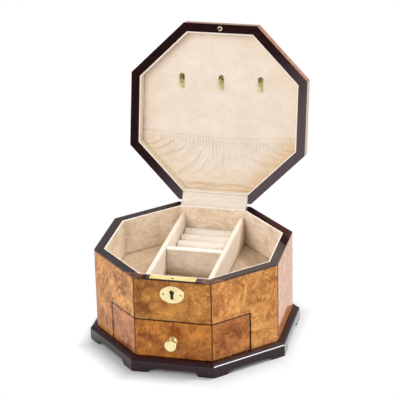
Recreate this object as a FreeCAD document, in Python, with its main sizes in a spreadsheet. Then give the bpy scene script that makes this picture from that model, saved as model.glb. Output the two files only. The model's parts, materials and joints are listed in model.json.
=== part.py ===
import FreeCAD, Part
import math
import os
import re
import Sketcher

# Octagonal jewellery box with a hinged lid, a lock and one wrap-around drawer.
# The front faces -Y, +Z is up, and the origin is the middle of the footprint on the floor.
# All lengths are millimetres and all angles degrees.

SIZES = {
    # carcass
    "across_flats": 240, "wall_height": 109, "wall_thickness": 11.5,
    "rim_thickness": 1.5, "lining_thickness": 1.8, "cut_overrun": 5,
    # plinth and base
    "plinth_height": 18.5, "plinth_overhang": 9, "plinth_depth": 17, "nose_radius": 4.5,
    "foot_width": 18, "bracket_width": 8.5, "arch_height": 6.5, "base_thickness": 6,
    # shelf over the drawer, and the suede inside
    "shelf_thickness": 4, "shelf_groove": 3, "floor_pad": 3.1,
    "divider_thickness": 7, "divider_drop": 10, "divider_play": 0.3,
    "cross_thickness": 6, "cross_drop": 11.5, "roll_height": 22, "roll_gap": 0.6, "roll_end_gap": 1.2,
    # drawer
    "drawer_height": 52, "drawer_width": 180, "drawer_gap": 0.7, "drawer_play": 0.3,
    "drawer_side": 6, "drawer_side_height": 43, "drawer_bottom": 4, "drawer_bottom_rise": 3,
    "drawer_groove": 3, "drawer_back_room": 3, "drawer_pad": 1.5,
    "guide_height": 10,
    # knob and its screw
    "knob_radius": 7.2, "knob_length": 18, "knob_edge": 2.4, "knob_dome": 1, "knob_cup": 4,
    "knob_neck_radius": 2.9, "knob_neck_length": 6.5, "knob_foot_radius": 5.3, "knob_foot": 1.2,
    "knob_cove": 1.8, "knob_screw_radius": 1.5, "knob_screw_reach": 8, "knob_screw_head": 3.4,
    "knob_screw_head_height": 1.8, "screw_play": 0.06,
    # lock
    "lock_plate_length": 59, "lock_plate_lip": 1, "lock_case_width": 19, "lock_case_height": 27,
    "lock_case_thickness": 7.5, "lock_case_wall": 0.8, "lock_case_play": 0.2,
    "stud_hole_radius": 2.2, "bolt_travel": 3.2, "bolt_thickness": 1.4, "bolt_play": 0.3,
    "bolt_edge": 1.6, "bolt_slot_radius": 1.25, "bolt_tab_width": 8, "bolt_tab_thickness": 0.8,
    "key_reach": 2.4, "key_pin_radius": 0.9, "key_pin_gap": 0.6,
    # escutcheon
    "escutcheon_width": 31.4, "escutcheon_height": 23.8, "escutcheon_thickness": 1.4,
    "escutcheon_end": 10, "escutcheon_edge": 0.6, "escutcheon_drop": 19.5,
    "keyhole_radius": 3.2, "keyhole_height": 12.7, "keyhole_slot": 4, "keyhole_wood_margin": 0.7,
    "pin_spacing": 22.4, "pin_radius": 0.6, "pin_length": 6, "pin_head_radius": 1.2, "pin_head": 0.6,
    # stud under the lid's front rim
    "stud_flange_radius": 3.2, "stud_flange": 1, "stud_radius": 1.7, "stud_neck_radius": 0.95,
    "stud_neck_margin": 0.3, "stud_head": 1.8, "stud_dimple_radius": 0.9, "stud_dimple": 1.4,
    "stud_shank_radius": 1.2, "stud_shank": 8,
    # hinges
    "lid_opening": 102, "lid_gap": 0.3, "hinge_offset": 2.2, "hinge_length": 30, "hinge_spacing": 52,
    "leaf_depth": 8, "leaf_thickness": 1, "barrel_radius": 1.8, "hinge_pin_radius": 0.9,
    "hinge_pin_play": 0.05, "knuckle_gap": 0.3, "knuckle_clearance": 0.4,
    "heel_reach": 5, "heel_thickness": 1.2, "heel_root": 1.3, "heel_gap": 0.1,
    "hinge_screw_spacing": 18, "hinge_screw_setback": 6.2, "hinge_screw_radius": 1,
    "hinge_screw_head": 1.9, "hinge_screw_length": 8,
    # cloth flap over the hinges
    "flap_thickness": 0.8, "flap_clearance": 0.25, "flap_inset": 0.3, "flap_flat": 0.6,
    # lid
    "lid_height": 25, "lid_top_thickness": 6, "lid_top_taper": 8, "lid_top_round": 1.6,
    "lid_panel": 1.5,
    # necklace hooks
    "hook_spacing": 54, "hook_drop": 70, "hook_height": 19, "hook_width": 6.6, "hook_metal": 1,
    "hook_bend": 3.3, "hook_tip": 8.5, "hook_tongue": 3, "hook_nail_radius": 0.6,
    "hook_nail_head": 2.2, "hook_nail_dome": 1, "hook_nail_drop": 4.4, "hook_nail_length": 3.2,
    # gathered pocket
    "pocket_hem": 92, "pocket_sag": 5.5, "pocket_clearance": 0.3, "pocket_mouth": 1.8,
    "pocket_cloth": 1.1, "pocket_belly": 3, "pocket_seam": 6, "pocket_pleat": 1.2,
}

FACETS = 8
FACET_NAMES = (
    "front", "front_right", "right", "back_right", "back", "back_left", "left", "front_left"
)
ROLL_COUNT = 5
# how much of the room between the drawer and the wall a drawer guide takes
GUIDE_WIDTH_SHARE = 0.32
POCKET_PLEATS = 12
# how far the pocket's folds stand out, and how deep they are, from the hem down to the seam
POCKET_BELLY_SHARES = (0.15, 0.7, 1.0, 0.6, 0.0)
POCKET_PLEAT_SHARES = (0.8, 1.0, 0.6, 0.4, 0.2)
POCKET_BELOW_CORNER_SHARES = (0.4, 0.75)

document = FreeCAD.newDocument("jewellery_box")
sheet = document.addObject("Spreadsheet::Sheet", "Sizes")
for row, (alias, value) in enumerate(SIZES.items(), start=1):
    sheet.set(f"A{row}", alias)
    sheet.set(f"B{row}", str(value))
    sheet.setAlias(f"B{row}", alias)
document.recompute()

ORIGIN = FreeCAD.Vector(0, 0, 0)
X_AXIS = FreeCAD.Vector(1, 0, 0)
Y_AXIS = FreeCAD.Vector(0, 1, 0)
Z_AXIS = FreeCAD.Vector(0, 0, 1)
QUARTER_TURN = 90
FULL_TURN = 360
parts = []


# Formulas, bindings and plain solids

def bound(formula):
    """The formula with each size named as a cell of the sheet."""
    return re.sub(r"[a-z_]+", lambda word: f"Sizes.{word[0]}" if word[0] in SIZES else word[0], formula)


def number(formula):
    return float(sheet.evalExpression(bound(formula)))


def bind(thing, formulas):
    for name, formula in formulas.items():
        thing.setExpression(name, bound(formula))
    return thing


def place(thing, x="0", y="0", z="0"):
    names = ("Placement.Base.x", "Placement.Base.y", "Placement.Base.z")
    return bind(thing, dict(zip(names, (x, y, z))))


def part(thing, label):
    """Keep a finished sub-part, whose label names its file."""
    thing.Label = label
    parts.append(thing)
    return thing


def draw(sketch, outline):
    """Draw a closed outline. A corner is (x, y), or (x, y, radius, turn) where an arc leaves it."""
    corners = [FreeCAD.Vector(number(corner[0]), number(corner[1]), 0) for corner in outline]
    starts, ends = [], []
    for index, corner in enumerate(outline):
        here, there = corners[index], corners[(index + 1) % len(corners)]
        if len(corner) == 2:
            sketch.addGeometry(Part.LineSegment(here, there))
            starts.append(1)
            ends.append(2)
            continue
        radius, turn = number(corner[2]), corner[3]
        chord = there - here
        rise = math.sqrt(radius**2 - chord.Length**2 / 4)
        centre = (here + there) / 2 + FreeCAD.Vector(-chord.y, chord.x, 0) * (turn * rise / chord.Length)
        first, last = (here, there) if turn > 0 else (there, here)
        begin, finish = (math.atan2(end.y - centre.y, end.x - centre.x) for end in (first, last))
        if finish < begin:
            finish += 2 * math.pi
        sketch.addGeometry(Part.ArcOfCircle(Part.Circle(centre, Z_AXIS, radius), begin, finish))
        starts.append(1 if turn > 0 else 2)
        ends.append(2 if turn > 0 else 1)
    for index, corner in enumerate(outline):
        following = (index + 1) % len(outline)
        link = Sketcher.Constraint("Coincident", index, ends[index], following, starts[following])
        sketch.addConstraint(link)
        for kind, formula in zip(("DistanceX", "DistanceY"), corner):
            rule = Sketcher.Constraint(kind, -1, 1, index, starts[index], number(formula))
            bind(sketch, {f"Constraints[{sketch.addConstraint(rule)}]": formula})
        if len(corner) > 2:
            rule = Sketcher.Constraint("Radius", index, number(corner[2]))
            bind(sketch, {f"Constraints[{sketch.addConstraint(rule)}]": corner[2]})


def sketched(name, plane, outline, start="0"):
    """A new body with a sketch of the outline, set off from one of its origin planes."""
    body = document.addObject("PartDesign::Body", name)
    sketch = body.newObject("Sketcher::SketchObject", name + "_outline")
    origin = next(item for item in body.Origin.OriginFeatures if item.Role == plane + "_Plane")
    sketch.AttachmentSupport = (origin, [""])
    sketch.MapMode = "FlatFace"
    bind(sketch, {"AttachmentOffset.Base.z": start})
    draw(sketch, outline)
    return body, sketch


def board(name, plane, outline, start, length):
    """An outline padded square to its plane: up from XY, forward from XZ, to the right from YZ."""
    body, sketch = sketched(name, plane, outline, start)
    pad = body.newObject("PartDesign::Pad", name + "_pad")
    pad.Profile = sketch
    bind(pad, {"Length": length})
    return body


def turned(name, outline):
    """An outline of (radius, height) corners turned about the Z axis."""
    body, sketch = sketched(name, "XZ", outline)
    turning = body.newObject("PartDesign::Revolution", name + "_turning")
    turning.Profile = sketch
    turning.ReferenceAxis = (sketch, ["V_Axis"])
    turning.Angle = FULL_TURN
    return body


def block(name, low, high):
    box = document.addObject("Part::Box", name)
    for side, axis, near, far in zip(("Length", "Width", "Height"), "xyz", low, high):
        bind(box, {side: f"({far}) - ({near})", f"Placement.Base.{axis}": near})
    return box


ROD_TURNS = {"right": (Y_AXIS, QUARTER_TURN), "front": (X_AXIS, QUARTER_TURN), "up": (Z_AXIS, 0)}


def rod(name, radius, length, direction, x="0", y="0", z="0"):
    cylinder = document.addObject("Part::Cylinder", name)
    cylinder.Placement = FreeCAD.Placement(ORIGIN, FreeCAD.Rotation(*ROD_TURNS[direction]))
    bind(cylinder, {"Radius": radius, "Height": length})
    return place(cylinder, x, y, z)


def combined(kind, name, base, tool):
    result = document.addObject(f"Part::{kind}", name)
    result.Base = base
    result.Tool = tool
    return result


def cut(name, base, *tools):
    for index, tool in enumerate(tools, start=1):
        base = combined("Cut", name if index == len(tools) else f"{name}_cut_{index}", base, tool)
    return base


def fused(name, *pieces):
    result = document.addObject("Part::MultiFuse", name)
    result.Shapes = list(pieces)
    return result


def group(name, pieces):
    result = document.addObject("Part::Compound", name)
    result.Links = list(pieces)
    return result


def rounded(body, radius, chosen):
    """Round the edges of a padded body that the test chooses."""
    pad = body.Tip
    document.recompute()
    edges = [f"Edge{index}" for index, edge in enumerate(pad.Shape.Edges, start=1) if chosen(edge.BoundBox)]
    fillet = body.newObject("PartDesign::Fillet", body.Name + "_rounding")
    fillet.Base = (pad, edges)
    bind(fillet, {"Radius": radius})
    body.Tip = fillet
    return body


def half_side(flat):
    """Half the length of an octagon's side, from the distance of the side to the middle."""
    return f"({flat} * tan(180 / {FACETS}))"


def octagon(flat):
    near = half_side(flat)
    return [
        (f"-{near}", f"-{flat}"), (near, f"-{flat}"), (flat, f"-{near}"), (flat, near),
        (near, flat), (f"-{near}", flat), (f"-{flat}", near), (f"-{flat}", f"-{near}"),
    ]


def face(thing, facet):
    """Turn a piece that was made for the front to its own side of the octagon."""
    turn = FreeCAD.Rotation(Z_AXIS, facet * FULL_TURN / FACETS)
    thing.Placement = FreeCAD.Placement(ORIGIN, turn)
    return thing


def stave(name, outer, inner, low, high, facet):
    """One mitred side of an octagonal ring."""
    outline = [
        (f"-{half_side(outer)}", f"-{outer}"), (half_side(outer), f"-{outer}"),
        (half_side(inner), f"-{inner}"), (f"-{half_side(inner)}", f"-{inner}"),
    ]
    return face(board(name, "XY", outline, low, f"{high} - {low}"), facet)


# Levels and distances that several pieces share

HALF = "(across_flats / 2)"
INNER = f"({HALF} - wall_thickness)"
LINED = f"({INNER} - lining_thickness)"
RIM_TOP = "(plinth_height + wall_height)"
STAVE_TOP = f"({RIM_TOP} - rim_thickness)"
DRAWER_TOP = "(plinth_height + drawer_height)"
SHELF_TOP = f"({DRAWER_TOP} + shelf_thickness)"
FLOOR = f"({SHELF_TOP} + floor_pad)"
PLINTH_OUT = f"({HALF} + plinth_overhang)"
PLINTH_IN = f"({PLINTH_OUT} - plinth_depth)"
LOCK_Y = f"({HALF} - wall_thickness / 2)"
LOCK_LOW = f"({STAVE_TOP} - lock_case_height)"
ESCUTCHEON_Z = f"({RIM_TOP} - escutcheon_drop)"
KEY_Z = f"({ESCUTCHEON_Z} + keyhole_height / 2 - keyhole_radius)"
KEYHOLE_LOW = f"({ESCUTCHEON_Z} - keyhole_height / 2)"
HINGE_Y = f"({HALF} + hinge_offset)"
HINGE_Z = f"({RIM_TOP} + lid_gap / 2)"
FLAP_HALF = f"({half_side(INNER)} + flap_inset)"
LEAF_Z = "(lid_gap / 2 + rim_thickness)"
ROUND_OF = "({0}^2 + {1}^2) / (2 * {1})"


# Plinth: a moulding on each side, with a rounded nose and an arch between its two half feet

def plinth_moulding(label, facet):
    section = [
        (f"-{PLINTH_IN}", "0"), (f"-{PLINTH_OUT}", "0"),
        (f"-{PLINTH_OUT}", "plinth_height - nose_radius", "nose_radius", -1),
        (f"-({PLINTH_OUT} - nose_radius)", "plinth_height"), (f"-{PLINTH_IN}", "plinth_height"),
    ]
    length = half_side(PLINTH_OUT)
    strip = board(label + "_strip", "YZ", section, f"-{length}", f"2 * {length}")
    beyond = f"({PLINTH_OUT} + cut_overrun)"
    corners = [("0", "0"), (f"-{half_side(beyond)}", f"-{beyond}"), (half_side(beyond), f"-{beyond}")]
    mitre = board(label + "_mitre", "XY", corners, "-cut_overrun", "plinth_height + 2 * cut_overrun")
    mitred = combined("Common", label + "_mitred", strip, mitre)
    foot = f"({length} - foot_width)"
    middle = f"({foot} - bracket_width / 2)"
    crown = f"({foot} - bracket_width)"
    bend = ROUND_OF.format("(bracket_width / 2)", "(arch_height / 2)")
    arch = [
        (f"-{foot}", "-cut_overrun"), (foot, "-cut_overrun"), (foot, "0", bend, -1),
        (middle, "arch_height / 2", bend, 1), (crown, "arch_height"),
        (f"-{crown}", "arch_height", bend, 1), (f"-{middle}", "arch_height / 2", bend, -1),
        (f"-{foot}", "0"),
    ]
    depth = "plinth_depth + 2 * cut_overrun"
    void = board(label + "_arch", "XZ", arch, f"{PLINTH_IN} - cut_overrun", depth)
    part(face(cut(label, mitred, void), facet), label)


for facet, side in enumerate(FACET_NAMES):
    plinth_moulding("plinth_" + side, facet)
base_low = "plinth_height - base_thickness"
part(board("base_board", "XY", octagon(PLINTH_IN), base_low, "base_thickness"), "base_board")


# Shelf over the drawer, let into a groove round the walls

shelf = part(
    board("shelf_board", "XY", octagon(f"({INNER} + shelf_groove)"), DRAWER_TOP, "shelf_thickness"),
    "shelf_board",
)


# Lock: plate in the rim, case let into the front wall, bolt that slides across under the plate

def keyhole(name, margin, near, far):
    """A round hole over a slot, cut from near to far in front of the middle of the box."""
    depth = f"{far} - ({near})"
    eye = rod(name + "_eye", f"keyhole_radius + {margin}", depth, "front", y=f"-({near})", z=KEY_Z)
    half = f"(keyhole_slot / 2 + {margin})"
    low = (f"-{half}", f"-({far})", f"{KEYHOLE_LOW} - {margin}")
    slot = block(name + "_slot", low, (half, f"-({near})", KEY_Z))
    return fused(name, eye, slot)


plate_half = "lock_plate_length / 2"
plate_front = f"-({HALF} - lock_plate_lip)"
plate_blank = block("lock_plate_blank", (f"-{plate_half}", plate_front, STAVE_TOP),
                    (plate_half, f"-{INNER}", RIM_TOP))
stud_hole = rod("lock_plate_hole", "stud_hole_radius", "rim_thickness + 2 * cut_overrun", "up",
                y=f"-{LOCK_Y}", z=f"{STAVE_TOP} - cut_overrun")
lock_plate = part(cut("lock_plate", plate_blank, stud_hole), "lock_plate")


def lock_box(name, half_width, half_depth, low, high):
    return block(name, (f"-({half_width})", f"-({LOCK_Y} + {half_depth})", low),
                 (half_width, f"-({LOCK_Y} - ({half_depth}))", high))


case_half = "lock_case_thickness / 2"
case_blank = lock_box("lock_case_blank", "lock_case_width / 2", case_half, LOCK_LOW, STAVE_TOP)
case_room = lock_box("lock_case_room", "lock_case_width / 2 - lock_case_wall",
                     f"{case_half} - lock_case_wall", f"{LOCK_LOW} + lock_case_wall",
                     f"{STAVE_TOP} + cut_overrun")
case_front = f"{LOCK_Y} + {case_half}"
case_keyhole = keyhole("lock_case_keyhole", "0", f"{case_front} - lock_case_wall - key_pin_gap",
                       f"{case_front} + cut_overrun")
case_shell = cut("lock_case_shell", case_blank, case_room, case_keyhole)
key_pin = rod("lock_case_pin", "key_pin_radius",
              "lock_case_thickness - lock_case_wall - key_pin_gap", "front",
              y=f"-({LOCK_Y} - {case_half})", z=KEY_Z)
part(fused("lock_case", case_shell, key_pin), "lock_case")

bolt_top = f"({STAVE_TOP} - bolt_play)"
bolt_low = f"({bolt_top} - bolt_thickness)"
bolt_half = f"({case_half} - lock_case_wall - bolt_play)"
bolt_span = "(stud_hole_radius + bolt_edge)"
bolt_blank = block("lock_bolt_blank",
                   (f"-({bolt_span} + bolt_travel)", f"-({LOCK_Y} + {bolt_half})", bolt_low),
                   (bolt_span, f"-({LOCK_Y} - {bolt_half})", bolt_top))
tab_front = f"-({LOCK_Y} - ({bolt_half} - bolt_tab_thickness))"
bolt_tab = block("lock_bolt_tab", ("-bolt_tab_width / 2", tab_front, f"{KEY_Z} + key_reach"),
                 ("bolt_tab_width / 2", f"-({LOCK_Y} - {bolt_half})", f"{bolt_low} + bolt_thickness / 2"))
bolt_depth = "bolt_thickness + 2 * cut_overrun"
bolt_under = f"{bolt_low} - cut_overrun"
bolt_eye = rod("lock_bolt_eye", "stud_hole_radius", bolt_depth, "up", y=f"-{LOCK_Y}", z=bolt_under)
slot_end = rod("lock_bolt_slot_end", "bolt_slot_radius", bolt_depth, "up", x="-bolt_travel",
               y=f"-{LOCK_Y}", z=bolt_under)
bolt_slot = block("lock_bolt_slot", ("-bolt_travel", f"-({LOCK_Y} + bolt_slot_radius)", bolt_under),
                  ("0", f"-({LOCK_Y} - bolt_slot_radius)", f"{bolt_top} + cut_overrun"))
talon = rod("lock_bolt_talon", "key_reach", "2 * cut_overrun", "front",
            y=f"-({LOCK_Y} - cut_overrun)", z=f"{KEY_Z} + key_reach")
slid_plate = cut("lock_bolt_plate", bolt_blank, bolt_eye, slot_end, bolt_slot)
part(fused("lock_bolt", slid_plate, cut("lock_bolt_tail", bolt_tab, talon)), "lock_bolt")


# Escutcheon on the front wall, with its two pins

def pin(name, x, length, play):
    """A small nail driven straight back into the front wall."""
    shank = f"(pin_radius + {play})"
    outline = [("0", f"-({length})"), (shank, f"-({length})"), (shank, "0"),
               ("pin_head_radius", "0"), ("pin_radius", "pin_head"), ("0", "pin_head")]
    body = turned(name, outline)
    body.Placement = FreeCAD.Placement(ORIGIN, FreeCAD.Rotation(X_AXIS, QUARTER_TURN))
    return place(body, x, f"-({HALF} + escutcheon_thickness)", ESCUTCHEON_Z)


long_half = "(escutcheon_width / 2)"
short_half = "(escutcheon_height / 2)"
end_centre = f"({long_half} - escutcheon_end)"
side_round = f"(({end_centre}^2 + {short_half}^2 - escutcheon_end^2) / (2 * ({short_half} - escutcheon_end)))"
meet_x = f"({end_centre} * {side_round} / ({side_round} - escutcheon_end))"
meet_z = f"(escutcheon_end * ({side_round} - {short_half}) / ({side_round} - escutcheon_end))"
oval = [
    (meet_x, f"{ESCUTCHEON_Z} - {meet_z}", "escutcheon_end", 1),
    (meet_x, f"{ESCUTCHEON_Z} + {meet_z}", side_round, 1),
    (f"-{meet_x}", f"{ESCUTCHEON_Z} + {meet_z}", "escutcheon_end", 1),
    (f"-{meet_x}", f"{ESCUTCHEON_Z} - {meet_z}", side_round, 1),
]
escutcheon_face = number(f"-({HALF} + escutcheon_thickness / 2)")
oval_plate = rounded(board("escutcheon_plate", "XZ", oval, HALF, "escutcheon_thickness"), "escutcheon_edge",
                     lambda box: box.YMax < escutcheon_face)
escutcheon_key = keyhole("escutcheon_keyhole", "0", f"{HALF} - cut_overrun", f"{HALF} + cut_overrun")
pin_places = {"left": "-pin_spacing / 2", "right": "pin_spacing / 2"}
pin_reach = "pin_length + escutcheon_thickness"
pin_holes = [pin(f"pin_hole_{side}", x, f"{pin_reach} + cut_overrun", "screw_play")
             for side, x in pin_places.items()]
part(cut("escutcheon", oval_plate, escutcheon_key, *pin_holes), "escutcheon")
pins = [pin(f"escutcheon_pin_{side}", x, pin_reach, "0") for side, x in pin_places.items()]
part(group("escutcheon_pins", pins), "escutcheon_pins")


# Hinges: each is made about its own axis, with its leaves closed, and then set in its place

def hinge_screw(name, x, side, play):
    """A countersunk screw through a leaf: side is -1 down into the wall, 1 up into the lid."""
    shank = f"(hinge_screw_radius + {play})"
    head = f"(hinge_screw_head + {play})"
    outline = [("0", "0"), (head, "0"), (shank, "-leaf_thickness"),
               (shank, "-hinge_screw_length"), ("0", "-hinge_screw_length")]
    body = turned(name, outline)
    if side > 0:
        body.Placement = FreeCAD.Placement(ORIGIN, FreeCAD.Rotation(X_AXIS, 2 * QUARTER_TURN))
    return place(body, x, "-(hinge_offset + hinge_screw_setback)", LEAF_Z if side > 0 else f"-{LEAF_Z}")


def hinge_leaf(name, side):
    """One leaf with its knuckles and its stop heel: side is -1 on the body, 1 on the lid."""
    half = "(hinge_length / 2)"
    third = "(hinge_length / 6)"
    ends = ((f"-{half}", f"-({third} + knuckle_gap / 2)"), (f"{third} + knuckle_gap / 2", half))
    middle = ((f"-({third} - knuckle_gap / 2)", f"{third} - knuckle_gap / 2"),)
    own, other = (middle, ends) if side > 0 else (ends, middle)
    far = f"({LEAF_Z} + leaf_thickness)"
    low, high = (LEAF_Z, far) if side > 0 else (f"-{far}", f"-{LEAF_Z}")
    web_low, web_high = ("0", far) if side > 0 else (f"-{far}", "0")
    back = "-(hinge_offset + leaf_depth)"
    plate = block(name + "_plate", (f"-{half}", back, low), (half, "0", high))
    room = "-(barrel_radius + knuckle_clearance)"
    notches = [
        block(f"{name}_notch_{index}", (f"{near} - knuckle_gap", room, f"{low} - cut_overrun"),
              (f"{end} + knuckle_gap", "cut_overrun", f"{high} + cut_overrun"))
        for index, (near, end) in enumerate(other)
    ]
    pieces = [cut(name + "_notched", plate, *notches)]
    near_heel, far_heel = "heel_gap / 2", "heel_gap / 2 + heel_thickness"
    if side < 0:
        near_heel, far_heel = f"-({far_heel})", f"-({near_heel})"

    def heel(heel_name, inner, start, length):
        outline = [(inner, near_heel), ("heel_reach", near_heel), ("heel_reach", far_heel), (inner, far_heel)]
        bar = board(heel_name, "YZ", outline, start, length)
        turn = FreeCAD.Rotation(X_AXIS * side, number("lid_opening / 2"))
        bar.Placement = FreeCAD.Placement(ORIGIN, turn)
        return bind(bar, {"Placement.Rotation.Angle": "lid_opening / 2"})

    for index, (near, end) in enumerate(own):
        span = f"{end} - ({near})"
        pieces.append(rod(f"{name}_knuckle_{index}", "barrel_radius", span, "right", x=near))
        pieces.append(block(f"{name}_web_{index}", (near, "-barrel_radius", web_low), (end, "0", web_high)))
        pieces.append(heel(f"{name}_heel_root_{index}", "heel_root", near, span))
    pieces.append(heel(name + "_heel", "barrel_radius + knuckle_clearance", f"-{half}", "hinge_length"))
    bore = rod(name + "_bore", "hinge_pin_radius + hinge_pin_play", "hinge_length + 2 * cut_overrun",
               "right", x=f"-({half} + cut_overrun)")
    holes = [hinge_screw(f"{name}_hole_{index}", x, side, "screw_play")
             for index, x in enumerate(("-hinge_screw_spacing / 2", "hinge_screw_spacing / 2"))]
    return cut(name, fused(name + "_whole", *pieces), bore, *holes)


def open_up(thing, x="0"):
    """Set a piece that was made about the hinge axis, lid closed, on the opened lid."""
    thing.Placement = FreeCAD.Placement(ORIGIN, FreeCAD.Rotation(-X_AXIS, number("lid_opening")))
    bind(thing, {"Placement.Rotation.Angle": "lid_opening"})
    return place(thing, x, HINGE_Y, HINGE_Z)


def hinge_screws(name, side, play):
    return [
        hinge_screw(f"{name}_{hinge}_{index}", f"{middle} + {offset}", side, play)
        for hinge, middle in hinge_places.items()
        for index, offset in enumerate(("-hinge_screw_spacing / 2", "hinge_screw_spacing / 2"))
    ]


hinge_places = {"left": "-hinge_spacing / 2", "right": "hinge_spacing / 2"}
hinge_pins = []
for hinge, middle in hinge_places.items():
    body_leaf = hinge_leaf(f"hinge_body_leaf_{hinge}", -1)
    part(place(body_leaf, middle, HINGE_Y, HINGE_Z), f"hinge_body_leaf_{hinge}")
    part(open_up(hinge_leaf(f"hinge_lid_leaf_{hinge}", 1), middle), f"hinge_lid_leaf_{hinge}")
    hinge_pins.append(rod(f"hinge_pin_{hinge}", "hinge_pin_radius", "hinge_length", "right",
                          x=f"{middle} - hinge_length / 2", y=HINGE_Y, z=HINGE_Z))
part(group("hinge_pins", hinge_pins), "hinge_pins")
body_screws = part(group("hinge_body_screws", hinge_screws("hinge_body_screw", -1, "0")), "hinge_body_screws")
place(body_screws, "0", HINGE_Y, HINGE_Z)
part(open_up(group("hinge_lid_screws", hinge_screws("hinge_lid_screw", 1, "0"))), "hinge_lid_screws")


def leaf_beds(name, side):
    """Room for both leaves of one side, and for their screws, about the hinge axis."""
    low, high = f"({LEAF_Z} - cut_overrun)", f"({LEAF_Z} + leaf_thickness)"
    if side < 0:
        low, high = f"-{high}", f"-{low}"
    beds = [
        block(f"{name}_{hinge}", (f"{middle} - hinge_length / 2", "-(hinge_offset + leaf_depth)", low),
              (f"{middle} + hinge_length / 2", "cut_overrun", high))
        for hinge, middle in hinge_places.items()
    ]
    return fused(name, *beds, *hinge_screws(name + "_screw", side, "screw_play"))


# Walls: mitred panels, grooved for the shelf; the three at the front make room for the drawer

drawer_way = block(
    "drawer_way", ("-drawer_width / 2", f"-({HALF} + cut_overrun)", "plinth_height - cut_overrun"),
    ("drawer_width / 2", "0", DRAWER_TOP),
)
mortise = lock_box("lock_mortise", "lock_case_width / 2 + lock_case_play",
                   f"{case_half} + lock_case_play", f"{LOCK_LOW} - lock_case_play",
                   f"{STAVE_TOP} + cut_overrun")
wall_keyhole = keyhole("wall_keyhole", "keyhole_wood_margin", LOCK_Y, f"{HALF} + cut_overrun")
wall_pin_holes = [pin(f"wall_pin_hole_{side}", x, pin_reach, "screw_play") for side, x in pin_places.items()]
body_beds = place(leaf_beds("body_leaf_beds", -1), "0", HINGE_Y, HINGE_Z)
wall_tools = {
    "front": [mortise, wall_keyhole, *wall_pin_holes],
    "front_left": [drawer_way],
    "front_right": [drawer_way],
    "back": [body_beds],
}
for facet, side in enumerate(FACET_NAMES):
    label = "wall_" + side
    low = DRAWER_TOP if side == "front" else "plinth_height"
    panel = stave(label + "_panel", HALF, INNER, low, STAVE_TOP, facet)
    part(cut(label, panel, *wall_tools.get(side, []), shelf), label)


# Edge band on the walls; it stops on each side of the hinge flap and makes room for the lock plate

def flap_way(name, low, high, middle_y):
    near = f"({middle_y} + {INNER} - cut_overrun)"
    far = f"({middle_y} + {HALF} + cut_overrun)"
    return block(name, (f"-{FLAP_HALF}", near, low), (FLAP_HALF, far, high))


def edge_band(name, low, high, front_tool, middle_y="0"):
    strips = []
    for facet, side in enumerate(FACET_NAMES):
        strip = place(stave(f"{name}_{side}_strip", HALF, INNER, low, high, facet), y=middle_y)
        if side == "front":
            strip = cut(f"{name}_front", strip, front_tool)
        if side == "back":
            way = flap_way(name + "_flap_way", f"{low} - cut_overrun", f"{high} + cut_overrun", middle_y)
            strip = cut(f"{name}_back", strip, way)
        strips.append(strip)
    return group(name, strips)


plate_seat = block("lock_plate_seat", (f"-{plate_half}", plate_front, f"{STAVE_TOP} - cut_overrun"),
                   (plate_half, f"-({INNER} - cut_overrun)", f"{RIM_TOP} + cut_overrun"))
part(edge_band("body_rim", STAVE_TOP, RIM_TOP, plate_seat), "body_rim")


# Suede inside the body: wall panels, floor pad, dividers and ring rolls

linings = [
    stave(f"wall_lining_{side}", INNER, LINED, SHELF_TOP, RIM_TOP, facet)
    for facet, side in enumerate(FACET_NAMES)
]
part(group("wall_lining", linings), "wall_lining")
part(board("floor_lining", "XY", octagon(LINED), SHELF_TOP, "floor_pad"), "floor_lining")


def round_topped(middle, thickness, low, high):
    """A section with a half-round top, for padded boards and rolls."""
    half = f"({thickness} / 2)"
    shoulder = f"{high} - {half}"
    return [
        (f"{middle} - {half}", low), (f"{middle} + {half}", low),
        (f"{middle} + {half}", shoulder, half, 1), (middle, high, half, 1),
        (f"{middle} - {half}", shoulder),
    ]


divider_x = f"({half_side(LINED)} - divider_play - divider_thickness / 2)"
divider_reach = f"({LINED} - divider_play)"
for side, middle in (("left", f"-{divider_x}"), ("right", divider_x)):
    section = round_topped(middle, "divider_thickness", FLOOR, f"{RIM_TOP} - divider_drop")
    divider = board("divider_" + side, "XZ", section, f"-{divider_reach}", f"2 * {divider_reach}")
    part(divider, "divider_" + side)
bay_half = f"({divider_x} - divider_thickness / 2 - divider_play)"
cross_section = round_topped("0", "cross_thickness", FLOOR, f"{RIM_TOP} - cross_drop")
part(board("divider_cross", "YZ", cross_section, f"-{bay_half}", f"2 * {bay_half}"), "divider_cross")

roll_pitch = f"(({LINED} - cross_thickness / 2 - roll_gap) / {ROLL_COUNT})"
roll_half = f"({bay_half} - roll_end_gap)"
rolls = []
for index in range(ROLL_COUNT):
    middle = f"(cross_thickness / 2 + roll_gap + {index} * {roll_pitch} + ({roll_pitch} - roll_gap) / 2)"
    section = round_topped(middle, f"({roll_pitch} - roll_gap)", FLOOR, f"{FLOOR} + roll_height")
    rolls.append(board(f"ring_roll_{index + 1}", "YZ", section, f"-{roll_half}", f"2 * {roll_half}"))
part(group("ring_rolls", rolls), "ring_rolls")


# Drawer: three fronts that wrap round two corners, and a box behind them

drawer_low = "(plinth_height + drawer_play)"
front_high = f"({DRAWER_TOP} - drawer_gap)"
drawer_half = "(drawer_width / 2 - drawer_gap)"
inner_half = f"({drawer_half} - drawer_side)"
drawer_back = f"({INNER} * sqrt(2) - drawer_width / 2 - drawer_back_room)"
bottom_low = f"({drawer_low} + drawer_bottom_rise)"
bottom_high = f"({bottom_low} + drawer_bottom)"
side_high = f"({drawer_low} + drawer_side_height)"


def drawer_plan(flat, half, back):
    """The drawer's plan: straight at the front, slanting along its wings, square behind."""
    slant = f"-({flat} * sqrt(2) - {half})"
    return [(f"-{half_side(flat)}", f"-{flat}"), (half_side(flat), f"-{flat}"), (half, slant),
            (half, back), (f"-{half}", back), (f"-{half}", slant)]


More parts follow.
